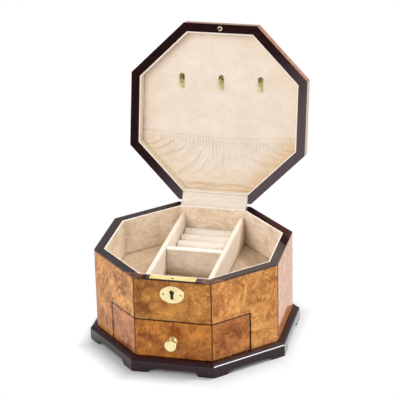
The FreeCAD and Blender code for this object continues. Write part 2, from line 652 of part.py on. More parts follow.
bottom_plan = drawer_plan(f"({INNER} + drawer_groove)", f"({inner_half} + drawer_groove)", drawer_back)
bottom = part(board("drawer_bottom", "XY", bottom_plan, bottom_low, "drawer_bottom"), "drawer_bottom")
knob_z = f"(({drawer_low} + {front_high}) / 2)"
knob_hole = rod("knob_hole", "knob_screw_radius + screw_play", "wall_thickness + 2 * cut_overrun", "front",
                y=f"-({INNER} - cut_overrun)", z=knob_z)
centre = stave("drawer_front_blank", HALF, INNER, drawer_low, front_high, FACET_NAMES.index("front"))
part(cut("drawer_front_centre", centre, bottom, knob_hole), "drawer_front_centre")
for side, sign in (("left", -1), ("right", 1)):
    label = "drawer_front_" + side
    panel = stave(label + "_panel", HALF, INNER, drawer_low, front_high, FACET_NAMES.index("front_" + side))
    near, far = sorted((f"{sign} * {drawer_half}", f"{sign} * {PLINTH_OUT}"), key=number)
    beyond = block(label + "_beyond", (near, f"-{PLINTH_OUT}", "0"), (far, "0", RIM_TOP))
    part(cut(label, panel, beyond, bottom), label)
    slant = f"-({INNER} * sqrt(2) - {drawer_half})"
    plan = [
        (f"{sign} * {inner_half}", f"{slant} - drawer_side"), (f"{sign} * {drawer_half}", slant),
        (f"{sign} * {drawer_half}", drawer_back), (f"{sign} * {inner_half}", drawer_back),
    ]
    label = "drawer_side_" + side
    panel = board(label + "_panel", "XY", plan, drawer_low, "drawer_side_height")
    part(cut(label, panel, bottom), label)
part(block("drawer_back", (f"-{inner_half}", f"{drawer_back} - drawer_side", bottom_high),
           (inner_half, drawer_back, side_high)), "drawer_back")
pad_plan = drawer_plan(INNER, inner_half, f"({drawer_back} - drawer_side)")
part(board("drawer_lining", "XY", pad_plan, bottom_high, "drawer_pad"), "drawer_lining")

head_low = "(knob_length - knob_dome - knob_edge)"
neck_top = "(knob_foot + knob_cove + knob_neck_length)"
cove = ROUND_OF.format("(knob_foot_radius - knob_neck_radius)", "knob_cove")
edge = ROUND_OF.format("(knob_edge / 2)", "(knob_edge / 4)")
dome = ROUND_OF.format("knob_radius", "knob_dome")
cup = ROUND_OF.format("(knob_radius - knob_neck_radius)", f"({head_low} - {neck_top})")
knob_outline = [
    ("0", "0"), ("knob_foot_radius", "0"), ("knob_foot_radius", "knob_foot", cove, -1),
    ("knob_neck_radius", "knob_foot + knob_cove"), ("knob_neck_radius", neck_top, cup, -1),
    ("knob_radius", head_low, edge, 1), ("knob_radius", f"{head_low} + knob_edge", dome, 1),
    ("0", "knob_length"),
]
forward = FreeCAD.Placement(ORIGIN, FreeCAD.Rotation(X_AXIS, QUARTER_TURN))
knob_blank = turned("drawer_knob_blank", knob_outline)
knob_blank.Placement = forward
place(knob_blank, y=f"-{HALF}", z=knob_z)
knob_bore = rod("drawer_knob_bore", "knob_screw_radius + screw_play", "cut_overrun + knob_screw_reach",
                "front", y=f"-({HALF} - cut_overrun)", z=knob_z)
part(cut("drawer_knob", knob_blank, knob_bore), "drawer_knob")
screw_reach = "(wall_thickness + knob_screw_reach)"
screw_outline = [
    ("0", "-knob_screw_head_height"), ("knob_screw_head", "-knob_screw_head_height"),
    ("knob_screw_head", "0"), ("knob_screw_radius", "0"), ("knob_screw_radius", screw_reach),
    ("0", screw_reach),
]
knob_screw = turned("knob_screw", screw_outline)
knob_screw.Placement = forward
part(place(knob_screw, y=f"-{INNER}", z=knob_z), "knob_screw")
guide_near = "drawer_width / 2"
guide_far = f"({guide_near} + ({INNER} - {guide_near}) * {GUIDE_WIDTH_SHARE})"
guide_reach = f"({INNER} * sqrt(2) - {guide_far})"
guide_high = "plinth_height + guide_height"
guides = [
    block("drawer_guide_left", (f"-{guide_far}", f"-{guide_reach}", "plinth_height"),
          (f"-{guide_near}", guide_reach, guide_high)),
    block("drawer_guide_right", (guide_near, f"-{guide_reach}", "plinth_height"),
          (guide_far, guide_reach, guide_high)),
]
part(group("drawer_guides", guides), "drawer_guides")


# Lid: made closed, about the hinge axis, and then opened

LID_MIDDLE = f"(-{HINGE_Y})"
LID_RIM = "(lid_gap / 2)"
LID_TOP = f"({LID_RIM} + lid_height)"
LID_UNDER = f"({LID_TOP} - lid_top_thickness)"
PANEL_FACE = f"({LID_UNDER} - lid_panel)"
STUD_Y = f"({LID_MIDDLE} - {LOCK_Y})"

HOOK_TOP = f"({LID_MIDDLE} - {HALF} + hook_drop)"
HOOK_FOOT = f"({HOOK_TOP} + hook_height)"
hook_places = {"left": "-hook_spacing", "middle": "0", "right": "hook_spacing"}
nail_holes = fused("hook_nail_holes", *[
    rod(f"hook_nail_hole_{side}", "hook_nail_radius + screw_play", "cut_overrun + hook_nail_length", "up",
        x=x, y=f"{HOOK_TOP} + hook_nail_drop", z=f"{PANEL_FACE} - cut_overrun")
    for side, x in hook_places.items()
])

lid_top = board("lid_top_board", "XY", octagon(HALF), LID_UNDER, "lid_top_thickness")
place(lid_top, y=LID_MIDDLE)
bind(lid_top.Tip, {"TaperAngle": "-lid_top_taper"})
lid_crown = number(f"{LID_TOP} - lid_top_thickness / 2")
rounded(lid_top, "lid_top_round", lambda box: box.ZMin > lid_crown)
part(open_up(cut("lid_top", lid_top, nail_holes)), "lid_top")

stud_way = "rim_thickness + stud_shank + cut_overrun"
stud_shank_hole = rod("stud_shank_hole", "stud_shank_radius + screw_play", stud_way, "up",
                      y=STUD_Y, z=f"{LID_RIM} - cut_overrun")
stud_seat = rod("stud_seat", "stud_flange_radius + screw_play", "stud_flange + cut_overrun", "up",
                y=STUD_Y, z=f"{LID_RIM} - cut_overrun")
lid_tools = {"front": stud_shank_hole, "back": leaf_beds("lid_leaf_beds", 1)}
staves = []
for facet, side in enumerate(FACET_NAMES):
    blank = stave(f"lid_stave_{side}_blank", HALF, INNER, LEAF_Z, LID_UNDER, facet)
    place(blank, y=LID_MIDDLE)
    staves.append(cut(f"lid_stave_{side}", blank, lid_tools[side]) if side in lid_tools else blank)
part(open_up(group("lid_sides", staves)), "lid_sides")
stud_seats = fused("stud_seats", stud_seat, stud_shank_hole)
part(open_up(edge_band("lid_rim", LID_RIM, LEAF_Z, stud_seats, LID_MIDDLE)), "lid_rim")

lid_panel = place(board("lid_lining_board", "XY", octagon(LINED), PANEL_FACE, "lid_panel"), y=LID_MIDDLE)
part(open_up(cut("lid_lining", lid_panel, nail_holes)), "lid_lining")
lid_linings = [
    place(stave(f"lid_edge_lining_{side}", INNER, LINED, LID_RIM, LID_UNDER, facet), y=LID_MIDDLE)
    for facet, side in enumerate(FACET_NAMES)
]
part(open_up(group("lid_edge_lining", lid_linings)), "lid_edge_lining")

neck_start = "(lid_gap + rim_thickness + bolt_play - stud_neck_margin)"
neck_end = "(lid_gap + rim_thickness + bolt_play + bolt_thickness + stud_neck_margin)"
stud_length = f"({neck_end} + stud_head)"
stud_top = "(rim_thickness + stud_shank)"
stud_outline = [
    ("0", stud_top), ("stud_shank_radius", stud_top), ("stud_shank_radius", "stud_flange"),
    ("stud_flange_radius", "stud_flange"), ("stud_flange_radius", "0"), ("stud_radius", "0"),
    ("stud_radius", f"-{neck_start}"), ("stud_neck_radius", f"-{neck_start}"),
    ("stud_neck_radius", f"-{neck_end}"), ("stud_radius", f"-{neck_end}"),
    ("stud_radius", f"-{stud_length}"), ("stud_dimple_radius", f"-{stud_length}"),
    ("stud_dimple_radius", f"-({stud_length} - stud_dimple)"), ("0", f"-({stud_length} - stud_dimple)"),
]
stud = place(turned("lock_stud_turned", stud_outline), y=STUD_Y, z=LID_RIM)
part(open_up(group("lock_stud", [stud])), "lock_stud")


# Necklace hooks: a strap nailed to the lid panel, with a narrow tongue bent out and up

def necklace_hook(name, x):
    def at(out, up):
        return f"{HOOK_FOOT} - ({up})", f"{PANEL_FACE} - ({out})"

    inner = "(hook_bend - hook_metal)"
    section = [
        at("0", "hook_height"), (*at("0", "hook_bend"), "hook_bend", -1),
        (*at("hook_bend", "0"), "hook_bend", -1), at("2 * hook_bend", "hook_bend"),
        at("2 * hook_bend", "hook_tip"), at("2 * hook_bend - hook_metal", "hook_tip"),
        (*at("2 * hook_bend - hook_metal", "hook_bend"), inner, 1),
        (*at("hook_bend", "hook_metal"), inner, 1), at("hook_metal", "hook_bend"),
        at("hook_metal", "hook_height"),
    ]
    half = "(hook_width / 2)"
    strap = board(name + "_strap", "YZ", section, f"{x} - {half}", "hook_width")
    crown = f"{HOOK_TOP} + {half}"
    outline = [
        (f"{x} - {half}", HOOK_FOOT), (f"{x} - {half}", crown, half, 1), (x, HOOK_TOP, half, 1),
        (f"{x} + {half}", crown), (f"{x} + {half}", HOOK_FOOT),
    ]
    front = board(name + "_front", "XY", outline, f"{PANEL_FACE} - 2 * hook_bend", "2 * hook_bend")
    sides = []
    for side, near, far in (("left", f"{x} - hook_width", f"{x} - hook_tongue / 2"),
                            ("right", f"{x} + hook_tongue / 2", f"{x} + hook_width")):
        low = (near, f"{HOOK_TOP} - cut_overrun", f"{PANEL_FACE} - 2 * hook_bend - cut_overrun")
        high = (far, f"{HOOK_FOOT} + cut_overrun", f"{PANEL_FACE} - hook_bend")
        sides.append(block(f"{name}_beside_{side}", low, high))
    return cut(name, combined("Common", name + "_shape", strap, front), *sides, nail_holes)


def hook_nail(name, x):
    dome = ROUND_OF.format("hook_nail_head", "hook_nail_dome")
    length = "hook_metal + hook_nail_length"
    outline = [("0", length), ("0", "-hook_nail_dome", dome, 1), ("hook_nail_head", "0"),
               ("hook_nail_radius", "0"), ("hook_nail_radius", length)]
    return place(turned(name, outline), x, f"{HOOK_TOP} + hook_nail_drop", f"{PANEL_FACE} - hook_metal")


for side, x in hook_places.items():
    part(open_up(necklace_hook(f"necklace_hook_{side}", x)), f"necklace_hook_{side}")
nails = [hook_nail(f"hook_nail_{side}", x) for side, x in hook_places.items()]
part(open_up(group("hook_nails", nails)), "hook_nails")


# Pocket: gathered cloth over the lid panel, open at its elastic hem

def pocket_section(back, half, valley, pleat):
    """A closed wire across the lid: flat against the panel, pleated on the side that shows."""
    face_z = number(PANEL_FACE) - number("pocket_clearance")
    step = 2 * half / POCKET_PLEATS
    crests = []
    for index in range(POCKET_PLEATS):
        left = FreeCAD.Vector(-half + index * step, -back, face_z - valley)
        right = FreeCAD.Vector(-half + (index + 1) * step, -back, face_z - valley)
        middle = (left + right) / 2 - FreeCAD.Vector(0, 0, pleat)
        crests.append(Part.Arc(left, middle, right).toShape())
    first = FreeCAD.Vector(-half, -back, face_z)
    last = FreeCAD.Vector(half, -back, face_z)
    left_end = Part.makeLine(first, crests[0].Vertexes[0].Point)
    right_end = Part.makeLine(crests[-1].Vertexes[-1].Point, last)
    return Part.Wire([left_end, *crests, right_end, Part.makeLine(last, first)])


def pocket_half(back):
    """Half the pocket's width at a distance in front of the hinge axis."""
    lined = number(LINED)
    side = number(half_side(LINED))
    return min(lined, side + back - (number(HINGE_Y) - lined)) - number("pocket_clearance")


corner_back = number(f"{HINGE_Y} - {half_side(LINED)}")
seam_back = number(f"{HINGE_Y} - {LINED} + pocket_clearance")
hem_back = number("pocket_hem")
stations = [hem_back, corner_back]
stations += [corner_back + share * (seam_back - corner_back) for share in POCKET_BELOW_CORNER_SHARES]
stations.append(seam_back)
thin = number("pocket_mouth + pocket_cloth")
sections = [
    pocket_section(back, pocket_half(back), thin + belly * number("pocket_belly"),
                   pleat * number("pocket_pleat"))
    for back, belly, pleat in zip(stations, POCKET_BELLY_SHARES, POCKET_PLEAT_SHARES)
]
gathered = document.addObject("Part::Feature", "lid_pocket_gathered")
gathered.Shape = Part.makeLoft(sections, True, True)
mouth_face = f"({PANEL_FACE} - pocket_clearance)"
mouth_half = f"({LINED} - pocket_clearance - pocket_seam)"
mouth_side = f"({half_side(LINED)} - pocket_seam)"
mouth_seam = f"({LID_MIDDLE} + {LINED} - pocket_clearance - pocket_seam)"
mouth_corner = f"({LID_MIDDLE} + {half_side(LINED)})"
mouth_hem = "-(pocket_hem + cut_overrun)"
mouth_plan = [
    (f"-{mouth_half}", mouth_hem), (mouth_half, mouth_hem), (mouth_half, mouth_corner),
    (mouth_side, mouth_seam), (f"-{mouth_side}", mouth_seam), (f"-{mouth_half}", mouth_corner),
]
mouth = board("lid_pocket_mouth", "XY", mouth_plan, f"{mouth_face} - pocket_mouth",
              "pocket_mouth + cut_overrun")
sag = ROUND_OF.format(LINED, "pocket_sag")
hem_y = "-pocket_hem"
hem_plan = [
    (f"-{LINED}", f"{hem_y} - cut_overrun"), (LINED, f"{hem_y} - cut_overrun"), (LINED, hem_y, sag, 1),
    ("0", f"{hem_y} + pocket_sag", sag, 1), (f"-{LINED}", hem_y),
]
hem_cut = board("lid_pocket_hem", "XY", hem_plan, "0", LID_TOP)
part(open_up(cut("lid_pocket", gathered, mouth, hem_cut)), "lid_pocket")


# Cloth flap: lies on both rims and bends round in front of the hinge barrels

slope = "(lid_opening / 2)"
under = f"(flap_clearance - {LEAF_Z})"
over = f"({under} + flap_thickness)"
flap_end = "(-(hinge_offset + wall_thickness - flap_inset))"
bend_y = f"({flap_end} + flap_flat)"
bend = f"(-{bend_y} * tan({slope}) - {over})"


def mirrored(y, z):
    """The same point on the lid's side of the flap."""
    return f"({y}) * cos(lid_opening) - ({z}) * sin(lid_opening)", \
        f"-({y}) * sin(lid_opening) - ({z}) * cos(lid_opening)"


flap_section = [
    (flap_end, under), (bend_y, under, f"{bend} + flap_thickness", 1), mirrored(bend_y, under),
    mirrored(flap_end, under), mirrored(flap_end, over), (*mirrored(bend_y, over), bend, -1),
    (bend_y, over), (flap_end, over),
]
flap_width = f"({FLAP_HALF} - flap_inset)"
flap = board("hinge_flap", "YZ", flap_section, f"-{flap_width}", f"2 * {flap_width}")
part(place(flap, "0", HINGE_Y, HINGE_Z), "hinge_flap")


# Check every object, then write one file for each sub-part

document.recompute()
faults = [item.Name for item in document.Objects if {"Invalid", "Error"} & set(item.State)]
for item in parts:
    if item.Shape.isNull() or not item.Shape.isValid() or not item.Shape.Solids:
        faults.append(item.Label)
if faults:
    raise RuntimeError(f"these objects failed: {sorted(set(faults))}")
os.makedirs("parts", exist_ok=True)
for item in parts:
    item.Shape.exportStep(f"parts/{item.Label}.step")
    print(f"{item.Label}: {len(item.Shape.Solids)} solid(s), {item.Shape.Volume:.0f} mm3")
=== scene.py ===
# %% [markdown]
# A locking jewellery box with eight sides, standing open. Its outside is burl veneer under
# a thick gloss lacquer, its plinth and rims are nearly black, and its inside is cream suede.
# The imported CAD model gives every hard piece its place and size, so this script only adds
# what CAD can't hold: the finishes, the light, and the soft suede work.

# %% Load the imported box
import json
import math

import bmesh
import bpy
from mathutils import Matrix, Vector, noise


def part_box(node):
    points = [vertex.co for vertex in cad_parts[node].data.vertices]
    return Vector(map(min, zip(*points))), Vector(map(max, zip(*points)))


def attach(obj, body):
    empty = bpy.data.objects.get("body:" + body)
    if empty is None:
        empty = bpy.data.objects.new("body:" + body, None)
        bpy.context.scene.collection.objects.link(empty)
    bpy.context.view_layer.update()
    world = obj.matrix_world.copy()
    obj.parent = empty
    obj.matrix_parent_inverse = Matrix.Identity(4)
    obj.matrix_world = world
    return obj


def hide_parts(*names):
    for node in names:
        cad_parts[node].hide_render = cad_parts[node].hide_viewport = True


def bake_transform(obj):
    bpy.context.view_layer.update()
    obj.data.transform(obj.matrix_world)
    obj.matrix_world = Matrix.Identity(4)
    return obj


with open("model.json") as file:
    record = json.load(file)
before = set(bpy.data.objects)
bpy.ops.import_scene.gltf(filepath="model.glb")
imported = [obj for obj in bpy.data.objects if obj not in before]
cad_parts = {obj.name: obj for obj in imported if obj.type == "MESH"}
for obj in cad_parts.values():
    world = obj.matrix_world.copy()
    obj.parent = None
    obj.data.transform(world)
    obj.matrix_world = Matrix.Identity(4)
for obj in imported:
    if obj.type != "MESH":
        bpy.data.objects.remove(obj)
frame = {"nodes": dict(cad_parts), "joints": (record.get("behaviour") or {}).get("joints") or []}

nodes = frame["nodes"]
scene = bpy.context.scene
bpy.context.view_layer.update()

# %% [markdown]
# The photograph was taken with a long lens from about two and a half metres away, a little
# to the right of the front and above it. The camera's axes were solved from the corners of
# the rim, the lid and the plinth, so they are written here as directions.

# %% Place the camera
CAMERA_PLACE = Vector((0.52609, -2.12042, 1.12935))
CAMERA_RIGHT = Vector((0.97348, 0.22776, -0.02145))
CAMERA_UP = Vector((-0.07130, 0.39116, 0.91756))
LENS_MM = 167.36
SENSOR_MM = 36.0

lens = bpy.data.cameras.new("studio_lens")
lens.lens = LENS_MM
lens.sensor_width = SENSOR_MM
lens.clip_start = 0.05
lens.clip_end = 50.0
camera = bpy.data.objects.new("studio_camera", lens)
axes = Matrix((CAMERA_RIGHT, CAMERA_UP, CAMERA_RIGHT.cross(CAMERA_UP))).transposed()
camera.matrix_world = Matrix.Translation(CAMERA_PLACE) @ axes.to_4x4()
scene.collection.objects.link(camera)
scene.camera = camera
scene.view_settings.view_transform = "Standard"
print("camera", round(CAMERA_PLACE.length, 3), "m from the box")

# %% [markdown]
# Every finish below is a small network of shader nodes. Short helpers keep them readable:
# one fills the sockets of a node and one adds a node. The others wrap the nodes that come up
# again and again: colours, numbers, vectors, noise and bump.

# %% Node helpers
def fill(tree, node, sockets):
    """Fills a node's sockets, named or numbered, each with a value or with a link."""
    for key, value in sockets.items():
        if isinstance(value, bpy.types.NodeSocket):
            tree.links.new(value, node.inputs[key])
        else:
            node.inputs[key].default_value = value


def add(tree, kind, sockets=None, **settings):
    """Adds one shader node, makes its settings and fills its sockets."""
    node = tree.nodes.new("ShaderNode" + kind)
    for name, value in settings.items():
        setattr(node, name, value)
    fill(tree, node, sockets or {})
    return node


def finish_named(name):
    """An empty material: itself, its node tree, its shader, and places on the object."""
    material = bpy.data.materials.new(name)
    material.use_nodes = True
    tree = material.node_tree
    return material, tree, tree.nodes["Principled BSDF"], spots(tree)


def spots(tree):
    """The place of each point of the object, in metres."""
    return add(tree, "TexCoord").outputs["Object"]


def parts(tree, vector):
    """A vector's X, Y and Z."""
    return add(tree, "SeparateXYZ", {0: vector}).outputs


print("helpers for single nodes")

# %% [markdown]
# Colours are mixed or chosen along a ramp, and a finished material can have one more colour
# laid over it.

# %% Colour helpers
def ramp(tree, factor, stops):
    """Colours a factor by stops of (position, colour)."""
    node = add(tree, "ValToRGB", {"Fac": factor})
    elements = node.color_ramp.elements
    while len(elements) < len(stops):
        elements.new(1.0)
    for element, (position, colour) in zip(elements, stops):
        element.position = position
        element.color = (*colour, 1.0)
    return node.outputs["Color"]


def tint(tree, factor, first, second, way="MIX"):
    """Mixes two colours, each a link or a plain colour."""
    node = add(tree, "Mix", {0: factor}, data_type="RGBA", blend_type=way)
    for key, colour in ((6, first), (7, second)):
        linked = isinstance(colour, bpy.types.NodeSocket)
        fill(tree, node, {key: colour if linked else (*colour, 1.0)})
    return node.outputs[2]


def lay_over(material, factor, colour, way="MIX"):
    """Lays one more colour over a finish, as far as the factor says."""
    tree = material.node_tree
    base = tree.nodes["Principled BSDF"].inputs["Base Color"]
    tree.links.new(tint(tree, factor, base.links[0].from_socket, colour, way), base)


print("helpers for colour")

# %% [markdown]
# Numbers and vectors are worked out in small steps, and noise and bump make the grain of
# every surface. A noise is given as its bumps to the metre.

# %% Number, noise and bump helpers
def maths(tree, way, *values):
    """Arithmetic on numbers or links. More than two are taken one after the other."""
    result = add(tree, "Math", dict(enumerate(values[:2])), operation=way).outputs[0]
    for value in values[2:]:
        result = add(tree, "Math", {0: result, 1: value}, operation=way).outputs[0]
    return result


def span(tree, value, low, high, to_low=0.0, to_high=1.0):
    """Stretches a value from one range to another, held at both ends."""
    sockets = {"Value": value, "From Min": low, "From Max": high, "To Min": to_low, "To Max": to_high}
    return add(tree, "MapRange", sockets).outputs["Result"]


def vectors(tree, way, first, second=None):
    """Arithmetic on vectors, the second of which is a number where the first is scaled. A
    length, a distance or a dot product comes out as a number."""
    sockets = {0: first}
    if second is not None:
        sockets["Scale" if way == "SCALE" else 1] = second
    node = add(tree, "VectorMath", sockets, operation=way)
    return node.outputs["Value" if way in ("LENGTH", "DISTANCE", "DOT_PRODUCT") else "Vector"]


def waves(tree, vector, scale, detail, rough=0.5, stretch=None, twist=0.0, output="Fac"):
    """Noise of that many bumps a metre, drawn out along one way where stretch says so."""
    if stretch:
        vector = add(tree, "Mapping", {"Vector": vector, "Scale": stretch}).outputs[0]
    sockets = {"Vector": vector, "Scale": scale, "Detail": detail, "Roughness": rough, "Distortion": twist}
    return add(tree, "TexNoise", sockets).outputs[output]


def bumped(tree, height, strength, deep, over=None):
    """A normal that follows a height. Deep is in metres, and over is the normal below it."""
    sockets = {"Height": height, "Strength": strength, "Distance": deep}
    if over:
        sockets["Normal"] = over
    return add(tree, "Bump", sockets).outputs[0]


print("helpers for numbers, noise and bump")

# %% [markdown]
# The box stands on a white studio sweep. The floor near it is an ordinary pale surface that
# takes its shadow; two fingers further out, round the same eight sides, it turns into
# plain white. Only what looks at it sees that white, so it adds no light.

# %% Floor
FLOOR_SIZE = 6.0
FLOOR_COLOUR = (0.64, 0.64, 0.65)
SHADOW_REACH = (0.133, 0.157)
SIDEWAYS = 1.10
SLANT = math.sqrt(0.5)

floor_mesh = bpy.data.meshes.new("studio_floor")
corner = FLOOR_SIZE / 2
floor_mesh.from_pydata(
    [(-corner, -corner, 0), (corner, -corner, 0), (corner, corner, 0), (-corner, corner, 0)],
    [], [(0, 1, 2, 3)],
)
floor = bpy.data.objects.new("studio_floor", floor_mesh)
scene.collection.objects.link(floor)

paper, tree, shader, place = finish_named("studio_paper")
rays = add(tree, "LightPath").outputs
seen = maths(tree, "MAXIMUM", rays["Is Camera Ray"], rays["Is Glossy Ray"], rays["Is Transmission Ray"])
away = parts(tree, vectors(tree, "ABSOLUTE", place))
slanted = maths(tree, "MULTIPLY", maths(tree, "ADD", away["X"], away["Y"]), SLANT)
sideways = maths(tree, "MULTIPLY", away["X"], SIDEWAYS)
reach = maths(tree, "MAXIMUM", sideways, away["Y"], slanted)
far = span(tree, reach, *SHADOW_REACH)
fill(tree, shader, {
    "Base Color": (*FLOOR_COLOUR, 1.0), "Roughness": 0.9, "Specular IOR Level": 0.1,
    "Normal": bumped(tree, waves(tree, place, 60.0, 2.0), 0.02, 0.001)})
white = add(tree, "Emission", {"Strength": 1.0})
share = maths(tree, "MULTIPLY", seen, far)
sweep = add(tree, "MixShader", {0: share, 1: shader.outputs[0], 2: white.outputs[0]})
fill(tree, tree.nodes["Material Output"], {"Surface": sweep.outputs[0]})
floor.data.materials.append(paper)
print("floor", FLOOR_SIZE, "m wide")

# %% [markdown]
# The camera sees a white background. The gloss reflects another studio: a dark room on the
# left of the camera, a bright tinted card on its right, and grey paper above and behind the
# box. A narrow strip of light on the far right draws the white line along the plinth's nose.

# %% Surroundings
AMBIENT = 0.70
BEHIND = 0.40
ROOM_LEFT = 0.03
CARD_RIGHT = 1.8
CARD_COLOUR = (1.0, 0.84, 0.93)
CARD_EDGE = (-0.26, -0.22)
CARD_TOP = (0.16, 0.30)
CARD_DEPTH = (-0.85, -0.45)
STRIP_RIGHT = 11.0
STRIP_ASIDE = (0.78, 0.84)
STRIP_FOOT = (-0.20, -0.10)
STRIP_TOP = (0.30, 0.45)
STRIP_NEAR = (-0.42, -0.36)
STRIP_FAR = (-0.16, -0.08)

world = bpy.data.worlds.new("studio_world")
scene.world = world
world.use_nodes = True
tree = world.node_tree
rays = add(tree, "LightPath").outputs
look = parts(tree, add(tree, "TexCoord").outputs["Generated"])
card_edge = maths(tree, "SUBTRACT", look["X"], look["Z"])
front = span(tree, card_edge, *CARD_EDGE, ROOM_LEFT, CARD_RIGHT)
front = span(tree, look["Z"], *CARD_TOP, front, BEHIND)
room = span(tree, look["Y"], *CARD_DEPTH, front, BEHIND)
strip = maths(
    tree, "MULTIPLY", span(tree, look["X"], *STRIP_ASIDE),
    span(tree, look["Z"], *STRIP_FOOT, 0.0, STRIP_RIGHT), span(tree, look["Z"], *STRIP_TOP, 1.0, 0.0),
    span(tree, look["Y"], *STRIP_NEAR), span(tree, look["Y"], *STRIP_FAR, 1.0, 0.0))
mirrored = maths(tree, "MULTIPLY", maths(tree, "ADD", room, strip), rays["Is Glossy Ray"])
plain = maths(tree, "MAXIMUM", rays["Is Camera Ray"], rays["Is Transmission Ray"], mirrored)
direct = maths(tree, "MAXIMUM", rays["Is Camera Ray"], rays["Is Glossy Ray"])
soft = maths(tree, "MULTIPLY", maths(tree, "SUBTRACT", 1.0, direct), AMBIENT)
on_card = span(tree, look["Y"], *CARD_DEPTH, rays["Is Glossy Ray"], 0.0)
fill(tree, tree.nodes["Background"], {
    "Strength": maths(tree, "MAXIMUM", plain, soft),
    "Color": tint(tree, on_card, (1.0, 1.0, 1.0), CARD_COLOUR)})
print("surroundings with a strip of", STRIP_RIGHT)

# %% [markdown]
# Two soft boxes light it. The key hangs high behind the right of the box and throws a short
# shadow forward and to the left. The other is large, stands in front on the left, and lights
# the lid and the front panels. Neither shows in the gloss, which reflects the room alone.

# %% Soft boxes
BOX_MIDDLE = (0.0, 0.0, 0.12)


def soft_box(name, at, size, watts):
    """A square area lamp that looks at the middle of the box."""
    lamp = bpy.data.lights.new(name, "AREA")
    lamp.shape = "SQUARE"
    lamp.size = size
    lamp.energy = watts
    holder = bpy.data.objects.new(name, lamp)
    holder.location = at
    holder.rotation_euler = (Vector(BOX_MIDDLE) - Vector(at)).to_track_quat("-Z", "Y").to_euler()
    holder.visible_glossy = False
    scene.collection.objects.link(holder)


soft_box("key_soft_box", (1.10, 0.80, 1.95), 0.5, 34.0)
soft_box("front_soft_box", (-0.7, -2.25, 1.6), 1.6, 38.0)
print("two soft boxes")

# %% [markdown]
# Burl is wood cut from a knotty growth, so its grain swirls instead of running straight. The
# maker lays one sheet on each side of the box, and no two sheets match. The sheets differ
# first in their tone. Within a sheet, dark wood is redder and light wood is paler.

# %% Tones of wood
AMBER = (0.400, 0.170, 0.034)
TAWNY = (0.398, 0.144, 0.022)
HONEY = (0.645, 0.284, 0.072)
STRAW = (0.560, 0.243, 0.058)
ROSE = (0.457, 0.178, 0.062)
RUSSET = (0.460, 0.165, 0.037)
COPPER = (0.640, 0.225, 0.048)
EDGE_WOOD_AND_GAP_SHADE = (0.016, 0.006, 0.003)
DARKER = (0.62, 1.0, 1.15)
LIGHTER = (0.90, 0.96, 1.15)
BRIGHTEST = 0.92


def shaded(tone, share):
    """A lighter or darker colour of the same wood."""
    powers = DARKER if share < 1 else LIGHTER
    return tuple(min(BRIGHTEST, part * share ** power) for part, power in zip(tone, powers))


print("amber at half", [round(part, 3) for part in shaded(AMBER, 0.5)])

# %% [markdown]
# The large figure of a sheet is given one by one: soft clouds, and curls of growth lines like
# the rings round a knot. Both lie at a place on the panel, in millimetres across from its
# middle and up from the table, and the same noise that bends the grain bends them too.

# %% Clouds and curls
MM = 1000.0
MARKS_DRIFT = 26.0
CLOUD_EDGE = (0.35, 1.35)
CURL_FADES = 0.6


def panel_spots(tree, place, out, bend):
    """Places on a panel in millimetres, across and up, bent as the grain is."""
    across = vectors(tree, "DOT_PRODUCT", place, (-out[1], out[0], 0.0))
    spot = add(tree, "CombineXYZ", {0: across, 1: parts(tree, place)["Z"]}).outputs[0]
    drift = vectors(tree, "SCALE", bend, MARKS_DRIFT)
    return vectors(tree, "ADD", vectors(tree, "SCALE", spot, MM), drift)


def veneer_marks(tree, spot, clouds, curls):
    """The sheet's large figure. A cloud is (across, up, half width, half height, weight) and a
    curl of growth lines is (across, up, radius, pitch, weight), all in millimetres."""
    total = 0.0
    for across, up, wide, tall, weight in clouds:
        away = vectors(tree, "SUBTRACT", spot, (across, up, 0.0))
        away = vectors(tree, "LENGTH", vectors(tree, "MULTIPLY", away, (1 / wide, 1 / tall, 0.0)))
        total = maths(tree, "ADD", total, span(tree, away, *CLOUD_EDGE, weight, 0.0))
    for across, up, radius, pitch, weight in curls:
        away = vectors(tree, "DISTANCE", spot, (across, up, 0.0))
        line = maths(tree, "SINE", maths(tree, "MULTIPLY", away, math.tau / pitch))
        fading = span(tree, away, radius * CURL_FADES, radius, weight, 0.0)
        total = maths(tree, "ADD", total, maths(tree, "MULTIPLY", line, fading))
    return total


print("marks drift by up to", MARKS_DRIFT / 2, "mm")

# %% [markdown]
# The rest of the figure is noise. One noise bends the coordinates, so that the others swirl.
# Two of them give the cloudy honey and brown, stretched flecks give the flame, thin lines the
# veins, and small cells in clusters the dark eyes. Fine pores run through all of it.

# %% Burl figure
SWIRL = 0.06
LEAN = 0.05
VEIN = 0.55
FIGURE = (0.40, 0.60, 0.03, 0.93)
STOPS = ((0.0, 0.36), (0.28, 0.72), (0.58, 1.10), (1.0, 1.70))


